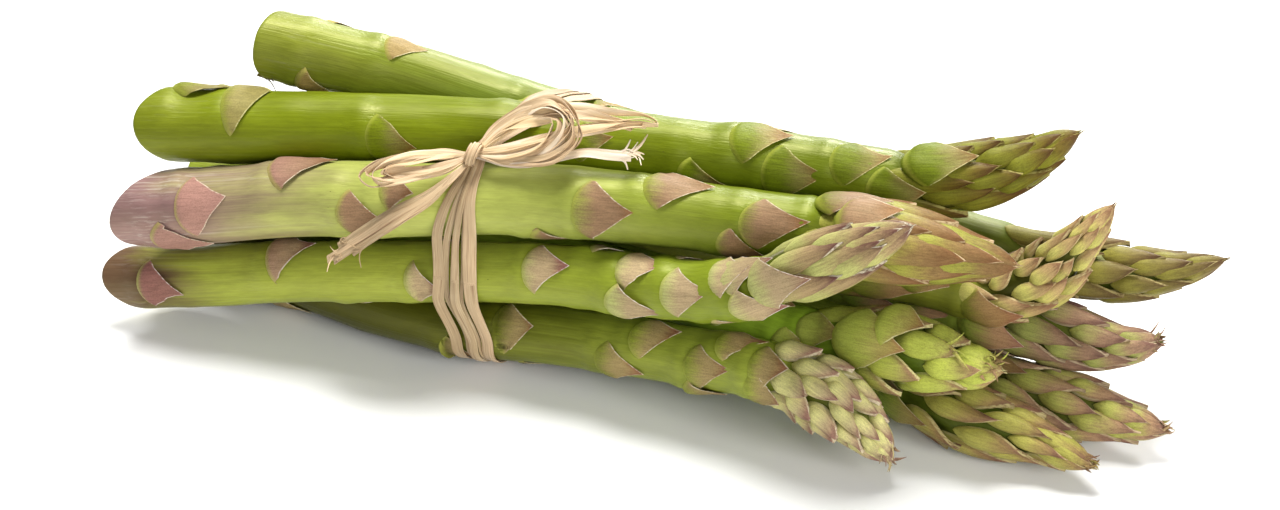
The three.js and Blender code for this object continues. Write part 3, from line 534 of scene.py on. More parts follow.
def growStalk(spear, name, draw):
    form, sides, faceRings = stalkMesh, stalkMesh["sides"], stalkMesh["faceRings"]
    angle = np.arange(sides) * 360 / sides
    slant, longest = spear["cut"]
    lean = np.cos(np.radians(angle - longest))
    places, reaches = [], []
    for share in faceRings:
        wave = form["pithWave"] * np.sin(np.radians(3 * angle + 500 * share)) * share
        places.append(slant * (1 - lean * share) / 2 + (wave + form["pithRise"] * (1 - share)))
        reaches.append(spear["buttRadius"] * share * np.ones(sides))
    for share, setBack in form["edgeRings"]:
        places.append(slant * (1 - lean * share) / 2 + setBack)
        reaches.append(outerRadius(spear, places[-1]) * share)
    first = form["edgeRings"][-1][1]
    for s in np.arange(first + form["step"], spear["length"] - 0.3, form["step"]):
        places.append(s + slant * (1 - lean) / 2 * max(0, 1 - (s - first) / (slant + form["settle"])))
        reaches.append(coreRadius(spear, places[-1]))
    reaches[-1] = reaches[-1] * 0.1
    places, reaches = np.array(places), np.array(reaches)
    turns = np.broadcast_to(angle, places.shape)
    round2, round3 = draw.uniform(0, 360, 2)
    drift = waver(draw, places.mean(1), 60)[:, None] * 40
    uneven = (np.cos(np.radians(2 * (turns - round2 - drift)))
              + 0.5 * np.cos(np.radians(3 * (turns - round3 + drift)))
              + 0.3 * np.cos(np.radians(11 * turns + 2 * drift)))
    reaches = reaches * (1 + form["outOfRound"] * uneven * smooth(places, 0, 6))
    for at, leafAngle, *_ in spear["leaves"]:
        turn = np.cos(np.radians(turns - leafAngle)) * 0.5 + 0.5
        reaches += form["swelling"] * np.exp(-((places - at) / form["swellingReach"]) ** 2) * turn**2
    points = onSpear(spear, places, turns, np.maximum(reaches, 0.05)).reshape(-1, 3)
    points = makeRoom(pressUnderBand(points), name)
    grain = grainRound(reaches.ravel(), turns.ravel(), places.ravel())
    onFace, faceRows = len(faceRings) * sides, len(faceRings) + 1
    faceEnd = onFace + sides
    gaps = [spear["buttRadius"] * (1 - share) for share in faceRings + [1]]
    faces = [np.arange(sides)[::-1], *gridFaces(faceRows, sides, closed=True)]
    cut = makePart(points[:faceEnd], faces, 3, grain[:faceEnd], rimGap=np.repeat(gaps, sides))
    faces = gridFaces(len(places) - faceRows + 1, sides, closed=True)
    along = (places / spear["neckAt"]).ravel()
    return [cut, makePart(points[onFace:], faces, 0, grain[onFace:], along=along[onFace:])]


def leafPart(spear, name, draw, sheet, form, slot):
    # a leaf from the grid of its upper side; an under side follows below, and a thin rim joins them
    s, angle, top = sheet["s"], sheet["angle"], sheet["top"]
    thickness = mix(form["rimThickness"], form["thickness"], smooth(sheet["rimGap"], 0, 2.5))
    points = np.vstack([onSpear(spear, s, angle, np.maximum(reach, 0.08)).reshape(-1, 3)
                        for reach in (top, top - thickness)])
    points = makeRoom(pressUnderBand(points), name, 4)
    rows, columns = s.shape
    size = rows * columns
    faces = list(gridFaces(rows, columns)) + list(gridFaces(rows, columns, start=size, flip=True))
    order = np.arange(size).reshape(rows, columns)
    outline = np.concatenate([order[:, 0], order[-1, 1:-1], order[::-1, -1]])
    faces += [[p, p + size, q + size, q] for p, q in zip(outline[:-1], outline[1:])]
    marks = {key: np.tile(sheet[key].ravel(), 2) for key in ("rimGap", "footGap", "leafAlong")}
    along = np.tile(np.minimum(s / spear["neckAt"], 1).ravel(), 2)
    grain = np.tile(grainRound(top.ravel(), angle.ravel(), s.ravel()), (2, 1))
    return makePart(points, faces, slot, grain, along=along, chance=draw.uniform(0, 1), **marks)


def growScales(spear, name, draw):
    # broad triangles that clasp the stalk: a foot that comes out of the skin, and a pressed tip
    form = scaleMesh
    parts = []
    a = np.sin(np.linspace(-1, 1, form["across"]) * np.pi / 2) * 0.985
    across, share = np.meshgrid(a, np.linspace(0, 1, form["along"]) ** 1.1)
    off = np.abs(across)
    footLine = form["corner"] * off**2.2
    for k, (at, middle, length, clasp, twist) in enumerate(spear["leaves"]):
        fullness = mix(*spear["fullness"], draw.uniform(0, 1))
        torn = draw.choice(form["tears"])
        bulge, lift = draw.uniform(*form["bulge"]), draw.uniform(*form["lift"])
        side = either(draw, form["lopsided"])
        if k >= len(spear["scales"]):      # those of the far side lie flat
            bulge, lift = bulge * 0.5, 0
        outline = fullness * (1 - off) ** 0.62 + (1 - fullness) * (1 - off) ** 1.8
        rimLine = form["corner"] + (1 - form["corner"]) * outline
        tear = torn * np.abs(waver(draw, a, 0.45, 5)) * smooth(np.abs(a), 0.05, 0.3) / length
        rimLine = np.maximum(rimLine - tear[None], footLine + 0.01)
        t = footLine + (rimLine - footLine) * share
        s = at + length * t
        rimGap, footGap = (rimLine - t) * length * 0.75, (t - footLine) * length
        body = 0.18 + 0.82 * np.sqrt(np.maximum(1 - (across * 0.98) ** 2, 0))
        rise = smooth(footGap, -0.1, 2.0) ** 0.8 * mix(1, 0.25, smooth(t, 0.2, 0.95))
        curl = lift * smooth(1 - rimGap / 2.2) * smooth(footGap, 0.5, 3.5) * (1 + side * np.sign(across))
        dimple = form["dimple"] * waver(draw, across * 3 + t * 2, 2.5) * smooth(footGap, 0, 3)
        top = outerRadius(spear, s) - form["sunk"] + bulge * rise * body + curl + dimple
        sheet = {"s": s, "angle": middle + across * clasp * 1.08 + twist * t**2, "top": top,
                 "rimGap": rimGap, "footGap": footGap, "leafAlong": t}
        parts.append(leafPart(spear, name, draw, sheet, form, 1))
    return parts


def growHead(spear, name, draw):
    # the bracts of the head: plump pods, each with its pointed tip over the feet of the next ones
    bracts, form, neckAt = spear["bracts"], podMesh, spear["neckAt"]
    u = np.linspace(0, 1, form["along"])
    a = np.sin(np.linspace(-1, 1, form["across"]) * np.pi / 2)
    across, t = np.meshgrid(a, mix(u, 0.5 - 0.5 * np.cos(np.pi * u), 0.6))
    arch = np.sqrt(np.maximum(1 - across**2, 0))
    parts, start = [], draw.uniform(0, 360)
    for k in range(bracts["count"] + form["atApex"]):
        place = min(k / (bracts["count"] - 1), 1)
        length = mix(*bracts["length"], place) * draw.uniform(*form["lengths"])
        width = mix(*bracts["width"], place) * draw.uniform(*form["widths"])
        lastAt = spear["length"] - bracts["length"][1] * (1 if k < bracts["count"] else 0.85)
        at = mix(neckAt - 3, lastAt, place**0.85) + either(draw, form["shift"])
        length = min(length, spear["length"] + draw.uniform(-0.8, 0.9) - at)
        s = at + length * t
        within = np.minimum(s, spear["length"] - 0.4)
        widest = form["widest"] * draw.uniform(0.85, 1.15)
        opening = np.sin(np.pi / 2 * np.minimum(t / widest, 1)) ** 0.6
        narrow = bracts["narrow"] * draw.uniform(0.85, 1.2)
        closing = np.cos(np.pi / 2 * np.maximum(0, (t - widest) / (1 - widest))) ** narrow
        half = np.maximum(width / 2 * opening * closing, 0.06)
        outer = np.maximum(outerRadius(spear, within), 0.2 * spear["neckRadius"])
        spread = np.minimum(np.degrees(half / outer), 84)
        twist, lean, turn = (either(draw, form[key]) for key in ("twist", "lean", "turn"))
        body = mix(arch, 0.66 + 0.34 * arch, smooth(t, 0.35, 0.95)) * (1 + lean * across)
        rise = smooth(t, -0.03, 0.32) ** 0.6 * (0.9 + 0.1 * t) * draw.uniform(0.9, 1.12)
        fromApex = smooth(spear["length"] - s, -0.5, 6)   # the last points close over the apex
        keel = form["keel"] * (1 - np.abs(across)) ** 2 * smooth(t, 0.3, 0.8) * fromApex
        relief = reliefAt(spear, s) * mix(0.5, 1, smooth(s, neckAt - 2, neckAt + 6)) * mix(0.3, 1, fromApex)
        stand = bracts["tipStands"] * draw.uniform(0.2, 1.6) * fromApex
        top = coreRadius(spear, within) + relief * rise * body + keel + stand * t**3
        sheet = {"s": s, "angle": start + k * goldenTurn + turn + across * spread + twist * t**2, "top": top,
                 "rimGap": half * (1 - np.abs(across)), "footGap": t * length, "leafAlong": t}
        parts.append(leafPart(spear, name, draw, sheet, form, 2))
    return parts


def growBits(spear, draw):
    # shrivelled shreds
    parts, form, green = [], shredMesh, spear["headScale"]["Green Share"]
    t = np.linspace(0, 1, form["stations"])[:, None]
    share = np.linspace(-0.5, 0.5, form["columns"])[None, :, None]
    for at, middle, count, reach in spear.get("bits", []):
        scatter = form["scatterAtTip" if at > spear["length"] - 6 else "scatter"]
        for _ in range(count):
            s = at + either(draw, form["shift"])
            turn = middle + either(draw, 1) * scatter
            rootReach = float(outerRadius(spear, np.array(min(s, spear["length"] - 0.6)))) - 0.3
            root, out, on = (onSpear(spear, np.array([s + d]), np.array([turn]), np.array([rootReach + r]))[0]
                             for d, r in ((0, 0), (0, 1), (1, 0)))
            rise, heading = unit(out - root), unit(on - root)
            side = np.cross(rise, heading)
            way = unit(heading * draw.uniform(0.5, 1.2) + rise * draw.uniform(0, 0.7)
                       + side * either(draw, 0.7))
            bend = unit(rise * either(draw, 1) + side * either(draw, 1))
            length = reach * draw.uniform(*form["lengths"])
            line = root + length * (way * t + bend * 0.5 * t**2.5)
            flat = unit(np.cross(way, bend) + rise * either(draw, 0.6))
            wide = draw.uniform(*form["width"]) * (1 - t**2) + 0.06
            upper = line[:, None] + flat * (share * wide[:, None]) + bend * (0.5 * share**2)
            under = upper - unit(np.cross(flat, way)) * form["thickness"]
            points = np.concatenate([upper, under[:, ::-1]], axis=1).reshape(-1, 3)
            faces = tubeFaces(form["stations"], form["columns"] * 2)
            parts.append(makePart(points, faces, 2, points, leafAlong=green + draw.uniform(-0.05, 0.4),
                                  along=1.0, rimGap=1.0, footGap=3.0, chance=draw.uniform(0, 1)))
    return parts


def listLeaves(spear, draw):
    # the scales that are listed, and the spiral of the far side
    leaves = list(spear["scales"])
    angle, at = spear["spiral"], max(12, spear["cut"][0] + 5)
    while at < spear["neckAt"] - 6:
        turn = angle % 360
        if farScales["between"][0] < turn < farScales["between"][1]:
            length = draw.uniform(*farScales["length"])
            leaves.append((at, turn, length, farScales["clasp"], either(draw, farScales["twist"])))
        angle += goldenTurn
        at += mix(*farScales["apart"], at / spear["neckAt"])
    return leaves


# Materials

def addNode(tree, kind, inputs=(), **settings):
    node = tree.nodes.new(kind)
    for key, value in settings.items():
        setattr(node, key, value)
    for key, value in dict(inputs).items():
        socket = node.inputs[key]
        if isinstance(value, bpy.types.NodeSocket):
            tree.links.new(value, socket)
        else:
            socket.default_value = value
    return node


def mark(tree, name):
    return addNode(tree, "ShaderNodeAttribute", attribute_name=name).outputs["Fac"]


def grainAt(tree, scale):
    place = addNode(tree, "ShaderNodeAttribute", attribute_name="grain").outputs["Vector"]
    return addNode(tree, "ShaderNodeVectorMath", {0: place, 1: scale}, operation="MULTIPLY").outputs[0]


def noiseAt(tree, scale, detail, roughness=0.55):
    values = {"Vector": grainAt(tree, scale), "Scale": 1.0, "Detail": detail, "Roughness": roughness}
    return addNode(tree, "ShaderNodeTexNoise", values).outputs["Fac"]


def cellsAt(tree, scale):
    values = {"Vector": grainAt(tree, scale), "Scale": 1.0}
    return addNode(tree, "ShaderNodeTexVoronoi", values).outputs["Distance"]


def sums(tree, operation, *values):
    return addNode(tree, "ShaderNodeMath", dict(enumerate(values)), operation=operation).outputs[0]


def plus(tree, first, second):
    return sums(tree, "ADD", first, second)


def times(tree, first, second):
    return sums(tree, "MULTIPLY", first, second)


def swayed(tree, value, noise, amount):
    # a value that a noise pushes up and down
    return plus(tree, value, sums(tree, "MULTIPLY_ADD", noise, amount, -amount / 2))


def ranged(tree, value, low, high, start=0.0, end=1.0):
    values = {"Value": value, "From Min": low, "From Max": high, "To Min": start, "To Max": end}
    return addNode(tree, "ShaderNodeMapRange", values, interpolation_type="SMOOTHSTEP").outputs["Result"]


def levels(tree, noise, start, end):
    # a range that goes over a noise from its dark to its light places
    return ranged(tree, noise, 0.3, 0.7, start, end)


def blend(tree, share, first, second, kind="MIX"):
    node = addNode(tree, "ShaderNodeMix", {0: share, 6: first, 7: second}, data_type="RGBA", blend_type=kind)
    return node.outputs[2]


def brighten(tree, tone, value):
    return addNode(tree, "ShaderNodeHueSaturation", {"Color": tone, "Value": value}).outputs["Color"]


def lead(tree, sockets, tone, rough, height, strength, depth):
    # leads a colour, a roughness and a bump to a group's output or to a shader
    bump = addNode(tree, "ShaderNodeBump", {"Strength": strength, "Distance": depth, "Height": height})
    tree.links.new(tone, sockets["Base Color" if "Base Color" in sockets else "Color"])
    tree.links.new(rough, sockets["Roughness"])
    tree.links.new(bump.outputs[0], sockets["Normal"])


def effectGroup(name, plainValues):
    tree = bpy.data.node_groups.new(name, "ShaderNodeTree")
    kinds = {"Color": "NodeSocketColor", "Roughness": "NodeSocketFloat", "Normal": "NodeSocketVector"}
    for label, plain in plainValues.items():
        kind = "NodeSocketColor" if isinstance(plain, list) else "NodeSocketFloat"
        tree.interface.new_socket(name=label, in_out="INPUT", socket_type=kind).default_value = plain
    for label, kind in kinds.items():
        tree.interface.new_socket(name=label, in_out="OUTPUT", socket_type=kind)
    return tree, tree.nodes.new("NodeGroupInput").outputs, tree.nodes.new("NodeGroupOutput").inputs


def newMaterial(name, **constants):
    material = bpy.data.materials.new(name)
    material.use_nodes = True
    shader = material.node_tree.nodes["Principled BSDF"]
    for key, value in constants.items():
        shader.inputs[key.replace("_", " ")].default_value = value
    return material, material.node_tree, shader.inputs


# A noise or the pores' cells have their cycles to a millimetre: two across the spear, and one along it.
# A fade has the two places between which it runs, as shares of the stalk or leaf, or millimetres of a gap.
skinLook = {
    "cloud": (0.09, 0.09, 0.03), "streak": (1.3, 1.3, 0.03), "fine": (4.0, 4.0, 0.07),
    "mottle": (0.9, 0.9, 0.25), "pore": (0.3, 0.3, 0.15), "poreTone": hexColour("#4c4a1c"),
    "dryStreak": (1.6, 1.6, 0.02), "dryPatch": (0.12, 0.12, 0.03), "dryTone": hexColour("#cfc4b8"),
    "buttFade": (0.3, 1.6),      # in reaches of the cut end's colour
    "neckFade": (0.45, 0.95), "dryFade": (0.36, 0.04),
    "poreEdge": (0.04, 0.02), "poreStrength": 0.7,       # in cells, from the middle of a pore
    "headFade": (1.0, 1.05), "shadeBetweenBracts": 0.35,         # painted shade: the stalk between the bracts is darkened to this share
    "roughness": (0.31, 0.45), "specular": 0.42, "bump": (0.45, 0.0004),
}
leafLook = {
    "cloud": (0.22, 0.22, 0.14), "vein": (2.4, 2.4, 0.1), "speck": (4.2, 4.2, 3.0),
    "footFade": (-0.2, 0.26),    # before and after the foot's share
    "tipFade": (0.6, 1.05), "buttFade": (0.34, 0.2), "lessGreenThere": -0.3, "marginFade": (1.5, 0.1),
    "rimFade": (1.1, 0.5),       # in widths of the rim
    "glow": hexColour("#a9ad48"), "glowFades": [(0.1, 0.9), (2.4, 1.0)],
    "roughness": (0.46, 0.6), "specular": 0.28, "bump": (0.4, 0.0004),
}
scaleLook = {"Rim Width": 0.28, "Rim Strength": 0.6, "Margin Tint": 0.1, "Foot Glow": 0.45}
podLook = {"Rim Width": 0.2, "Rim Strength": 0.7, "Margin Tint": 0.14, "Foot Glow": 0.15}
pithLook = {
    "fibre": (1.1, 1.1, 0.2), "cloud": (0.4, 0.4, 0.4), "between": hexColour("#8c7f48"),
    "pale": hexColour("#b5b078"), "dry": hexColour("#9c8a58"), "edge": hexColour("#6f5c30"),
    "roughness": (0.5, 0.7), "coat": 0.1, "bump": (0.6, 0.0005),
}
waxTint = hexColour("#fff8b0")   # the waxy skin tints what it reflects


def makeStalkEffect():
    look = skinLook
    tree, given, made = effectGroup("stalkTone", skinTones(*["#8aa030"] * 3, 0.2, 0.1))
    along = mark(tree, "along")
    cloud = noiseAt(tree, look["cloud"], 2)
    streak = noiseAt(tree, look["streak"], 3, 0.6)
    fine = noiseAt(tree, look["fine"], 2, 0.6)
    place = swayed(tree, swayed(tree, along, streak, 0.12), cloud, 0.34)
    pastButt = ranged(tree, place, *(times(tree, given["Butt Reach"], end) for end in look["buttFade"]))
    tone = blend(tree, pastButt, given["Butt"], given["Middle"])
    tone = blend(tree, ranged(tree, place, *look["neckFade"]), tone, given["Neck"])
    value = plus(tree, levels(tree, streak, 0.94, 1.06), levels(tree, fine, -0.04, 0.04))
    value = times(tree, value, levels(tree, cloud, 0.9, 1.1))
    value = times(tree, value, levels(tree, noiseAt(tree, look["mottle"], 3, 0.65), 0.93, 1.07))
    # painted shade: inside the head, where the bracts cover it, the stalk is darkened
    value = times(tree, value, ranged(tree, along, *look["headFade"], 1.0, look["shadeBetweenBracts"]))
    tone = brighten(tree, tone, value)
    dry = ranged(tree, noiseAt(tree, look["dryStreak"], 4, 0.7), 0.5, 0.7)
    dry = times(tree, dry, ranged(tree, along, *look["dryFade"]))
    dry = times(tree, dry, ranged(tree, noiseAt(tree, look["dryPatch"], 1), 0.45, 0.6))
    dry = times(tree, dry, given["Dry Streaks"])
    tone = blend(tree, dry, tone, look["dryTone"])
    pores = ranged(tree, cellsAt(tree, look["pore"]), *look["poreEdge"], 0.0, look["poreStrength"])
    tone = blend(tree, pores, tone, look["poreTone"])
    rough = plus(tree, levels(tree, streak, *look["roughness"]), times(tree, dry, 0.3))
    height = sums(tree, "MULTIPLY_ADD", streak, 0.6, times(tree, fine, 0.3))
    lead(tree, made, tone, rough, height, *look["bump"])
    return tree


def makeLeafEffect():
    look, green = leafLook, hexColour("#8aa030")
    tree, given, made = effectGroup("leafTone", {
        "Foot": green, "Middle": green, "Tip": green, "Rim": green, "Green Share": 0.3, "Near Butt": green,
        "Rim Width": 0.3, "Rim Strength": 0.5, "Margin Tint": 0.3, "Foot Glow": 0.4})
    leafAlong, rimGap, footGap, chance = (mark(tree, name) for name in
                                          ("leafAlong", "rimGap", "footGap", "chance"))
    cloud = noiseAt(tree, look["cloud"], 2)
    vein = noiseAt(tree, look["vein"], 3, 0.6)
    speck = noiseAt(tree, look["speck"], 2, 0.7)
    place = swayed(tree, leafAlong, cloud, 0.36)
    place = swayed(tree, place, vein, 0.24)
    place = swayed(tree, place, chance, 0.2)
    margin = ranged(tree, rimGap, *look["marginFade"])
    place = plus(tree, place, times(tree, margin, given["Margin Tint"]))
    nearButt = ranged(tree, mark(tree, "along"), *look["buttFade"])
    share = sums(tree, "MULTIPLY_ADD", nearButt, look["lessGreenThere"], given["Green Share"])
    pastFoot = ranged(tree, place, *(plus(tree, share, end) for end in look["footFade"]))
    tone = blend(tree, ranged(tree, place, *look["tipFade"]), given["Middle"], given["Tip"])
    tone = blend(tree, nearButt, tone, given["Near Butt"])
    tone = blend(tree, pastFoot, given["Foot"], tone)
    value = plus(tree, levels(tree, vein, 1.12, 0.86), ranged(tree, speck, 0.35, 0.7, 0.08, -0.18))
    value = times(tree, value, sums(tree, "MULTIPLY_ADD", chance, 0.2, 0.9))
    tone = brighten(tree, tone, value)
    glow = times(tree, *(ranged(tree, footGap, *fade) for fade in look["glowFades"]))
    tone = blend(tree, times(tree, glow, given["Foot Glow"]), tone, look["glow"])
    rim = ranged(tree, sums(tree, "DIVIDE", rimGap, given["Rim Width"]), *look["rimFade"])
    rim = times(tree, rim, times(tree, ranged(tree, vein, 0.32, 0.6), given["Rim Strength"]))
    rim = times(tree, rim, ranged(tree, footGap, 1.5, 4.0))
    tone = blend(tree, rim, tone, given["Rim"])
    height = sums(tree, "MULTIPLY_ADD", vein, 0.7, times(tree, speck, 0.15))
    lead(tree, made, tone, levels(tree, speck, *look["roughness"]), height, *look["bump"])
    return tree


stalkEffect, leafEffect = makeStalkEffect(), makeLeafEffect()


def placeEffect(tree, effect, values):
    return addNode(tree, "ShaderNodeGroup", values, node_tree=effect).outputs


def wear(tree, effect, shader):
    for made, taken in (("Color", "Base Color"), ("Roughness", "Roughness"), ("Normal", "Normal")):
        tree.links.new(effect[made], shader[taken])


def stalkMaterial(name, skin):
    material, tree, shader = newMaterial(name, Specular_IOR_Level=skinLook["specular"], Specular_Tint=waxTint)
    wear(tree, placeEffect(tree, stalkEffect, skin), shader)
    return material


def leafMaterial(name, tones, look, nearButt, skin=None):
    material, tree, shader = newMaterial(name, Specular_IOR_Level=leafLook["specular"], Specular_Tint=waxTint)
    foot = placeEffect(tree, stalkEffect, skin)["Color"] if skin else tones["Foot"]
    values = {**tones, "Foot": foot, "Near Butt": nearButt, **look}
    wear(tree, placeEffect(tree, leafEffect, values), shader)
    return material


def cutMaterial():
    # the cut end: pale wet pith with fibre ends, browner and drier towards its edge
    look = pithLook
    material, tree, shader = newMaterial("cutPith", Coat_Weight=look["coat"])
    fibres = cellsAt(tree, look["fibre"])
    cloud = noiseAt(tree, look["cloud"], 3)
    tone = blend(tree, ranged(tree, fibres, 0.1, 0.4), look["between"], look["pale"])
    tone = blend(tree, ranged(tree, cloud, 0.45, 0.7, 0.0, 0.5), tone, look["dry"])
    edge = ranged(tree, plus(tree, mark(tree, "rimGap"), times(tree, cloud, 0.8)), 1.3, 0.5)
    tone = blend(tree, edge, tone, look["edge"])
    lead(tree, shader, tone, levels(tree, cloud, *look["roughness"]), fibres, *look["bump"])
    return material


pith = cutMaterial()

for number, (name, spear) in enumerate(spears.items()):
    draw = np.random.default_rng(40 + number)
    spear["leaves"] = listLeaves(spear, draw)
    parts = growStalk(spear, name, draw) + growScales(spear, name, draw) + growHead(spear, name, draw)
    parts += growBits(spear, draw)
    nearButt = spear.get("nearButt", spear["scale"]["Middle"])
    footSkin = None if spear.get("ownFoot") else spear["skin"]
    ownPodLook = {**podLook, **spear.get("podLook", {})}
    materials = [stalkMaterial(name + "Skin", spear["skin"]),
                 leafMaterial(name + "Scales", spear["scale"], scaleLook, nearButt, footSkin),
                 leafMaterial(name + "Bracts", spear["headScale"], ownPodLook, nearButt), pith]
    piece = buildMesh(name + "_grown", parts, materials)
    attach(piece, "root")
    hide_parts(name)
    print("grown:", name, len(piece.data.polygons), "faces")


# The raffia

raffiaStrip = {
    "columns": 9, "step": 0.9, "thickness": 0.14, "uneven": 0.12, "crease": 0.055, "bandCrease": 0.035,
    "curl": 2.2,          # of the long edges, in creases
    "end": (0.5, 7),      # share of the width that an end has, and how far it runs out
    "pinchReach": 0.13, "pinchTurn": 75, "pinchWidth": 0.25,      # at the far end of a loop
    "fibreStep": 0.6, "fibreWidth": (0.25, 0.6), "fibreClearance": 0.4,
}
raffiaLook = {
    "cloud": (0.3, 1.0, 0.05), "streak": (2.6, 1.0, 0.05), "fine": (7.0, 1.0, 0.12),
    "tones": [(0.0, "#947c58"), (0.35, "#ab916b"), (0.6, "#c4a781"), (0.8, "#d5b889"), (1.0, "#d4c4af")],
    # edgeShadowTone: painted shadow along one long edge of each strip
    "streakTone": hexColour("#a07a55"), "fibreTone": hexColour("#efe0ba"), "edgeShadowTone": hexColour("#9d7448"),
    "roughness": (0.5, 0.68), "sheen": 0.15, "bump": (0.35, 0.0002),
}
bowFace = np.array((0, -0.51, 0.86))   # the way that the bow's strips lie open


def raffiaMaterial():
    look = raffiaLook
    material, tree, shader = newMaterial("raffiaStraw", Sheen_Weight=look["sheen"])
    cloud = noiseAt(tree, look["cloud"], 2)
    streak = noiseAt(tree, look["streak"], 3, 0.65)
    fine = noiseAt(tree, look["fine"], 2, 0.6)
    ramp = addNode(tree, "ShaderNodeValToRGB", {"Fac": swayed(tree, mark(tree, "chance"), cloud, 0.7)})
    stops = ramp.color_ramp.elements
    stops[0].color, stops[1].color = hexColour(look["tones"][0][1]), hexColour(look["tones"][-1][1])
    for place, code in look["tones"][1:-1]:
        stops.new(place).color = hexColour(code)
    tone = ramp.outputs["Color"]
    stained = blend(tree, 1.0, tone, look["streakTone"], "MULTIPLY")
    tone = blend(tree, times(tree, ranged(tree, streak, 0.5, 0.7), 0.65), tone, stained)
    tone = blend(tree, times(tree, ranged(tree, fine, 0.5, 0.7), 0.3), tone, look["fibreTone"])
    # painted shadow: every strip is darkened along one long edge, as where strips overlap
    edge = ranged(tree, plus(tree, mark(tree, "across"), -0.5), 0.42, 0.5)
    tone = blend(tree, times(tree, edge, 0.3), tone, look["edgeShadowTone"])
    height = sums(tree, "MULTIPLY_ADD", streak, 0.7, times(tree, fine, 0.4))
    lead(tree, shader, tone, levels(tree, streak, *look["roughness"]), height, *look["bump"])
    return material


def clearOf(points, height):
    # lifts points clear of the spears and of the band
    for _ in range(3):
        for spear in spears.values():
            centre, away, radius = nearestOn(spear, points, 3)
            short = np.maximum(radius + height - away, 0)
            points = points + unit(points - centre) * short[:, None]
    angle = angleRoundTie(points)
    x, spread = tieAt(angle)
    edge = tie["bandWidth"] * spread / 2
    near = smooth(np.abs(points[:, 0] - x), edge + tie["fade"][0], edge + tie["fade"][1])
    out = points[:, 1:] - tie["middle"]
    reach = np.linalg.norm(out, axis=1)
    short = np.maximum(bandReach(angle, points[:, 0]) + tie["lift"] + height - reach, 0) * near
    points[:, 1:] += out / reach[:, None] * short[:, None]
    return points


def ribbonPart(upper, rise, widths, chance, closed=False):
    # a flat strip from the grid of its upper side: stations, columns, xyz
    stations, columns, _ = upper.shape
    around = columns * 2
    rings = np.concatenate([upper, (upper - rise * raffiaStrip["thickness"])[:, ::-1]], axis=1)
    if closed:
        faces = gridFaces(stations + 1, around, closed=True) % (stations * around)
    else:
        faces = tubeFaces(stations, around)
    share = np.linspace(0, 1, columns)
    across = np.tile(np.concatenate([share, share[::-1]]), stations)
    s = np.repeat(lengthAlong(upper[:, columns // 2]), around)
    grain = np.stack([across * widths.mean(), np.full(len(s), chance * 60), s], axis=1)
    return makePart(rings.reshape(-1, 3), faces, 0, grain, chance=chance, across=across)


def folded(share, folds, drift):
    # a zigzag between -1 and 1 over the share of a strip's width
    return np.abs(((share[None] * folds + drift) % 1) - 0.5) * 4 - 1


def growStrand(draw, wayPoints, width, height, chance, roll, pinch=0.0):
    # a creased strip along way points; pinch narrows and turns it at its middle, as at the end of a loop
    middle = smoothLine(wayPoints, raffiaStrip["step"])
    s = lengthAlong(middle)
    ahead = unit(np.gradient(middle, axis=0))
    flat = unit(np.cross(bowFace, ahead))
    rise = unit(np.cross(ahead, flat))
    form = raffiaStrip
    atTurn = np.exp(-((s / s[-1] - 0.5) / form["pinchReach"]) ** 2) * pinch
    turn = np.radians(roll * waver(draw, s, 45) + form["pinchTurn"] * atTurn * draw.choice([-1, 1]))[:, None]
    across = flat * np.cos(turn) + rise * np.sin(turn)
    rise = unit(np.cross(ahead, across))
    endWidth, endReach = form["end"]
    widths = width * (1 + form["uneven"] * waver(draw, s, 22)) * (1 - form["pinchWidth"] * atTurn)
    widths = widths * mix(endWidth, 1, smooth(s, 0, endReach))
    if pinch:
        widths = widths * mix(endWidth, 1, smooth(s[-1] - s, 0, endReach))
    share = np.linspace(-0.5, 0.5, form["columns"])
    drift = waver(draw, s, 50)[:, None] * 0.2 + draw.uniform(0, 1)
    wave = folded(share, draw.uniform(0.7, 1.5), drift)
    curl = (0.5 + waver(draw, s, 30))[:, None] * (2 * share[None]) ** 2 * form["curl"]
    creases = (wave - curl) * form["crease"] * widths[:, None]
    upper = (middle[:, None] + across[:, None] * (share[None] * widths[:, None])[..., None]
             + rise[:, None] * creases[..., None])
    upper = clearOf(upper.reshape(-1, 3), height).reshape(upper.shape)
    return ribbonPart(upper, rise[:, None], widths, chance), upper


def frayedEnd(draw, upper, count, reach, spread, chance):
    # the fibres that a strip's end comes apart into
    parts = []
    last, before = upper[-1], upper[-4]
    heading, side = unit((last - before).mean(0)), unit(last[-1] - last[0])
    for k in range(count):
        share = (k + draw.uniform(0.2, 0.8)) / count
        way = heading + side * (share - 0.5 + either(draw, 0.3)) * spread
        bend, span = either(draw, 1.1), reach * draw.uniform(0.5, 1.15)
        lift = np.array((0, 0, draw.uniform(0, 0.4)))
        start = mix(before[0], before[-1], share) + (0, 0, 0.1)
        wayPoints = [start + (way * t + side * bend * t**3 + lift * t) * span for t in (0, 0.33, 0.66, 1)]
        middle = smoothLine(wayPoints, raffiaStrip["fibreStep"])
        forward = unit(np.gradient(middle, axis=0))
        flat = unit(np.cross(bowFace + draw.uniform(-0.5, 0.5, 3), forward))
        thin = draw.uniform(*raffiaStrip["fibreWidth"]) * mix(1, 0.4, np.linspace(0, 1, len(middle)))
        grid = middle[:, None] + flat[:, None] * (np.linspace(-0.5, 0.5, 3)[None] * thin[:, None])[..., None]
        grid = clearOf(grid.reshape(-1, 3), raffiaStrip["fibreClearance"]).reshape(grid.shape)
        parts.append(ribbonPart(grid, unit(np.cross(forward, flat))[:, None], thin, chance))
    return parts


# strips of the band: place across it (share of its width), own width, layer from the bottom, and tint;
# they are gathered under the knot
bandStrips = [(-0.4, 3.0, 1, 0.3), (-0.14, 1.6, 0, 0.1), (0.04, 2.1, 2, 0.38), (0.36, 3.4, 1, 0.5),
              (0.2, 0.8, 0, 0.1)]
gathering = {"angle": 62, "reach": 30, "share": 0.4}
layers = {"lowest": 0.2, "apart": 0.24, "arch": 0.08, "tilt": 0.4}


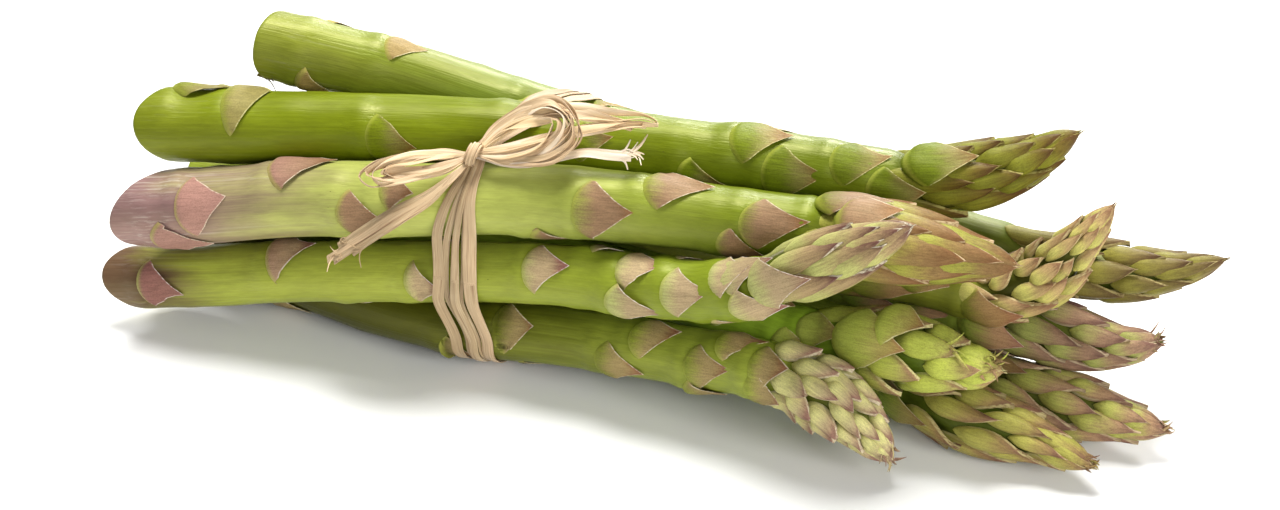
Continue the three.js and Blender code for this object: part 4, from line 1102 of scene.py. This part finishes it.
def bandStrip(draw, place, width, layer, chance):
    angle = np.arange(0, 360, 2.0)
    x, spread = tieAt(angle)
    turn = np.radians(angle)
    stray = sum(either(draw, 0.05) * np.sin(k * turn + draw.uniform(0, 6)) for k in (1, 2, 3, 5))
    fromKnot = (angle - gathering["angle"] + 180) % 360 - 180
    spread = spread * (1 - gathering["share"] * np.exp(-(fromKnot / gathering["reach"]) ** 2))
    uneven = 1 + raffiaStrip["uneven"] * np.sin(2 * turn + draw.uniform(0, 6))
    widths = width * mix(0.4, 1, spread) * uneven
    middle = x + (place + stray) * tie["bandWidth"] * spread
    share = np.linspace(-0.5, 0.5, raffiaStrip["columns"])
    folds, phase = draw.uniform(0.6, 1.3), draw.uniform(0, 1)
    drift = phase + 0.2 * np.sin(turn * 2 + phase * 9)[:, None] + 0.1 * np.sin(turn * 5)[:, None]
    creases = folded(share, folds, drift) * raffiaStrip["bandCrease"] * widths[:, None]
    arch = layers["arch"] * (1 - (2 * share[None]) ** 2)
    tilt = layers["tilt"] * share[None] * np.sin(turn * 3 + phase * 20)[:, None]
    xs = middle[:, None] + share[None] * widths[:, None]
    reach = bandReach(np.repeat(angle, len(share)), xs.ravel()).reshape(xs.shape)
    reach += layers["lowest"] + layers["apart"] * layer + arch + creases + tilt
    cosine, sine = np.cos(turn)[:, None], np.sin(turn)[:, None]
    radial = np.stack([0 * sine, -cosine, sine], axis=-1)
    upper = np.stack([xs, tie["middle"][0] - cosine * reach, tie["middle"][1] + sine * reach], axis=-1)
    # columns run towards -x so that the outside faces out
    return ribbonPart(upper[:, ::-1], radial, widths, chance, closed=True)


raffia = raffiaMaterial()
draw = np.random.default_rng(7)
band = buildMesh("raffiaStrips", [bandStrip(draw, *row) for row in bandStrips], [raffia], 40)
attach(band, "root")
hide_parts("raffia_band")
print("tied:", len(band.data.polygons), "faces")

# The bow. Loops: way points from the knot round to the knot, the loop's far end, and its strands: reach
# and opening as shares of the loop's own, width, and tint. Tails: way points, and strands: place
# across (mm at the end), length share, width, and tint; then fibres of the frayed end.
# Turns of the knot: shift along X, radius, and width.
bow = {
    "knot": (4.2, -2, 56.6),
    "lift": 0.6, "layer": 0.16,              # of the lowest strand, and from one to the next above it
    "loopLayers": 7, "loopRoll": 24, "loopWander": 0.3,
    "tailLayers": 4, "tailRoll": 12, "tailWander": 0.15, "fibreSpread": 0.7,
    "loops": [
        {"points": [(4.5, -1, 56.4), (8, 5, 60.5), (14, 8.5, 65.5), (20, 8.5, 68), (25.5, 5.5, 66.5),
                    (27.5, 1.5, 63), (24.5, -1.5, 59), (15, -2.5, 57), (5, -2, 56.4)],
         "far": (26, 5, 66.5),
         "strands": [(1.0, 1.0, 1.7, 0.45), (0.96, 0.86, 2.6, 0.6), (0.9, 0.66, 2.6, 0.95),
                     (1.03, 0.93, 1.1, 0.5), (0.86, 0.42, 2.4, 0.55), (0.94, 0.76, 1.5, 0.35),
                     (0.98, 0.5, 1.8, 0.75), (0.8, 0.22, 2.6, 0.8), (0.97, 0.3, 1.4, 0.5)]},
        {"points": [(5, -1, 56.6), (10, 4, 60.5), (17, 7.5, 65), (25, 8.6, 66.6), (34, 9.6, 66), (42, 10, 65),
                    (43.5, 9.9, 64.6), (39, 9.2, 64.8), (31, 6.5, 64), (23, 3, 62.2), (15, 0, 59.8),
                    (5, -1.5, 56.8)],
         "far": (43.5, 10, 65),
         "strands": [(1.0, 1.0, 1.8, 0.8), (0.93, 0.8, 2.8, 0.85), (1.0, 0.6, 1.5, 0.75),
                     (0.86, 0.9, 2.2, 0.65)]},
        {"points": [(3.5, -2, 56), (-3, -4, 56.4), (-11, -8, 56.2), (-17, -10.5, 54.8), (-18.8, -13, 52.5),
                    (-16.5, -13.7, 50.7), (-10, -12, 51.7), (-2.5, -7.5, 53.9), (3.5, -2.5, 56)],
         "far": (-18.5, -12.5, 53),
         "strands": [(1.0, 0.8, 1.7, 0.6), (0.95, 0.55, 2.8, 0.5), (0.8, 0.3, 2.8, 0.75),
                     (0.9, 0.85, 1.5, 0.9), (0.75, 0.6, 2.2, 0.55)]},
    ],
    "tails": [
        {"points": [(5, -2, 56), (14, -2.5, 56.4), (23, 0.5, 57.6), (29, 3, 58.6), (34, 4, 58.7),
                    (43, 5, 58.9)],
         "strands": [(0.0, 0.93, 2.1, 1.0), (0.5, 0.98, 1.1, 0.95)], "fibres": 7, "fibreReach": 3.6},
        {"points": [(4, -3, 55.4), (0.5, -9, 52.7), (-3, -12, 49.7), (-9, -14.5, 45.7), (-17, -16.5, 39.2),
                    (-22, -17, 34.7), (-26, -17, 31.2)],
         "strands": [(-1.6, 0.94, 1.6, 0.35), (-0.1, 1.0, 1.9, 0.55), (1.5, 0.97, 1.5, 0.4),
                     (2.4, 0.86, 0.9, 0.3)],
         "fibres": 5, "fibreReach": 2.6},
    ],
    "turns": [(-0.8, 2.6, 1.3), (0.1, 3.0, 1.5), (0.9, 2.6, 1.0)],
    "turnSlant": 0.6, "turnFlatness": 0.86, "turnDrop": 0.3, "turnCrease": 0.1,
}
knotAt = np.array(bow["knot"])
parts, laid = [], 0
for loop in bow["loops"]:
    points, axis = np.array(loop["points"]), np.array(loop["far"]) - knotAt
    outward = axis * ((points - knotAt) @ axis / (axis @ axis))[:, None]
    swing = np.sin(np.pi * lengthAlong(points) / lengthAlong(points)[-1])[:, None]
    for reach, opening, width, tint in loop["strands"]:
        own = knotAt + outward * mix(1, reach, swing) + (points - knotAt - outward) * mix(1, opening, swing)
        own += draw.normal(size=points.shape) * bow["loopWander"] * swing
        lift = bow["lift"] + bow["layer"] * (laid % bow["loopLayers"])
        parts.append(growStrand(draw, own, width, lift, tint, bow["loopRoll"], pinch=1.0)[0])
        laid += 1
for tail in bow["tails"]:
    points = np.array(tail["points"])
    t = lengthAlong(points) / lengthAlong(points)[-1]
    flat = unit(np.cross(bowFace, unit(np.gradient(points, axis=0))))
    for place, reach, width, tint in tail["strands"]:
        stray = place * smooth(t, 0, 0.5) + bow["tailWander"] * draw.normal(size=len(t)) * smooth(t)
        own = smoothLine(points + flat * stray[:, None], 2)
        own = own[:max(4, int(len(own) * reach))]
        lift = bow["lift"] + bow["layer"] * (laid % bow["tailLayers"])
        strand, upper = growStrand(draw, own, width, lift, tint, bow["tailRoll"])
        parts.append(strand)
        parts += frayedEnd(draw, upper, tail["fibres"], tail["fibreReach"], bow["fibreSpread"], tint)
        laid += 1

# the knot's turns are drawn tight round the gathered strips
turnsRound = np.linspace(0, 2 * np.pi, 13)[:-1]
share = np.linspace(-0.5, 0.5, raffiaStrip["columns"])
for shift, radius, width in bow["turns"]:
    ring = [knotAt + (shift + bow["turnSlant"] * math.sin(a), radius * math.cos(a),
                      radius * bow["turnFlatness"] * math.sin(a) - bow["turnDrop"]) for a in turnsRound]
    middle = smoothLine(ring, 0.5, closed=True)
    ahead = unit(np.roll(middle, -1, axis=0) - np.roll(middle, 1, axis=0))
    out = unit((middle - knotAt) * (0, 1, 1))[:, None]
    across = unit(np.cross(out[:, 0], ahead))[:, None]
    upper = (middle[:, None] + across * (share * width)[None, :, None]
             + out * (bow["turnCrease"] * np.cos(share * 14))[None, :, None])
    parts.append(ribbonPart(upper, out, np.full(len(middle), width), 0.5, closed=True))
knots = buildMesh("raffiaBowStrands", parts, [raffia], 40)
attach(knots, "root")
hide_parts("raffia_bow")
print("bow:", len(knots.data.polygons), "faces")


# The floor, light and camera

studio = {
    "floorHalf": 3, "floorBelow": 0.0005, "floorTone": hexColour("#eeeeec"), "world": 0.22,
    "lights": [  # name, place, what it is aimed at, size and power
        ("keyLight", (-0.1, 0.25, 0.95), (0, 0, 0), 0.45, 16),
        ("sideLight", (1.0, -0.45, 0.45), (0.05, 0, 0), 0.45, 7.6),
        ("frontFill", (0.35, -0.8, 0.55), (0, 0, 0), 0.5, 2.6),
        ("backLight", (-0.1, 0.9, 0.5), (0, 0, 0.03), 0.35, 8.5)],
    "target": (40, 8, 30), "cameraTurn": 18, "cameraRise": 35, "cameraAway": 0.9, "lens": 112,
}
scene = bpy.context.scene
half = studio["floorHalf"]
corners = [(x * half, y * half, -studio["floorBelow"]) for x, y in ((-1, -1), (1, -1), (1, 1), (-1, 1))]
floorMesh = bpy.data.meshes.new("floor")
floorMesh.from_pydata(corners, [], [(0, 1, 2, 3)])
floorMesh.materials.append(newMaterial("floorPale", Base_Color=studio["floorTone"], Roughness=0.9)[0])
floor = bpy.data.objects.new("floor", floorMesh)
scene.collection.objects.link(floor)

scene.world = scene.world or bpy.data.worlds.new("studio")
scene.world.use_nodes = True
background = scene.world.node_tree.nodes["Background"]
background.inputs["Color"].default_value = (1, 1, 1, 1)
background.inputs["Strength"].default_value = studio["world"]

for name, place, aim, size, power in studio["lights"]:
    lamp = bpy.data.lights.new(name, "AREA")
    lamp.shape, lamp.size, lamp.energy = "DISK", size, power
    holder = bpy.data.objects.new(name, lamp)
    scene.collection.objects.link(holder)
    holder.location = place
    holder.rotation_euler = (Vector(aim) - Vector(place)).to_track_quat("-Z", "Y").to_euler()
print("lit:", len(studio["lights"]), "lights")

target = (Vector(studio["target"]) - Vector((*bundleMiddle, 0))) * mm
turn, rise = math.radians(studio["cameraTurn"]), math.radians(studio["cameraRise"])
back = Vector((math.sin(turn) * math.cos(rise), -math.cos(turn) * math.cos(rise), math.sin(rise)))
camera = bpy.data.objects.new("camera", bpy.data.cameras.new("camera"))
camera.data.lens = studio["lens"]
camera.data.clip_start, camera.data.clip_end = 0.01, 20
camera.location = target + back * studio["cameraAway"]
camera.rotation_euler = back.to_track_quat("Z", "Y").to_euler()
scene.collection.objects.link(camera)
scene.camera = camera
scene.view_settings.view_transform = "Standard"
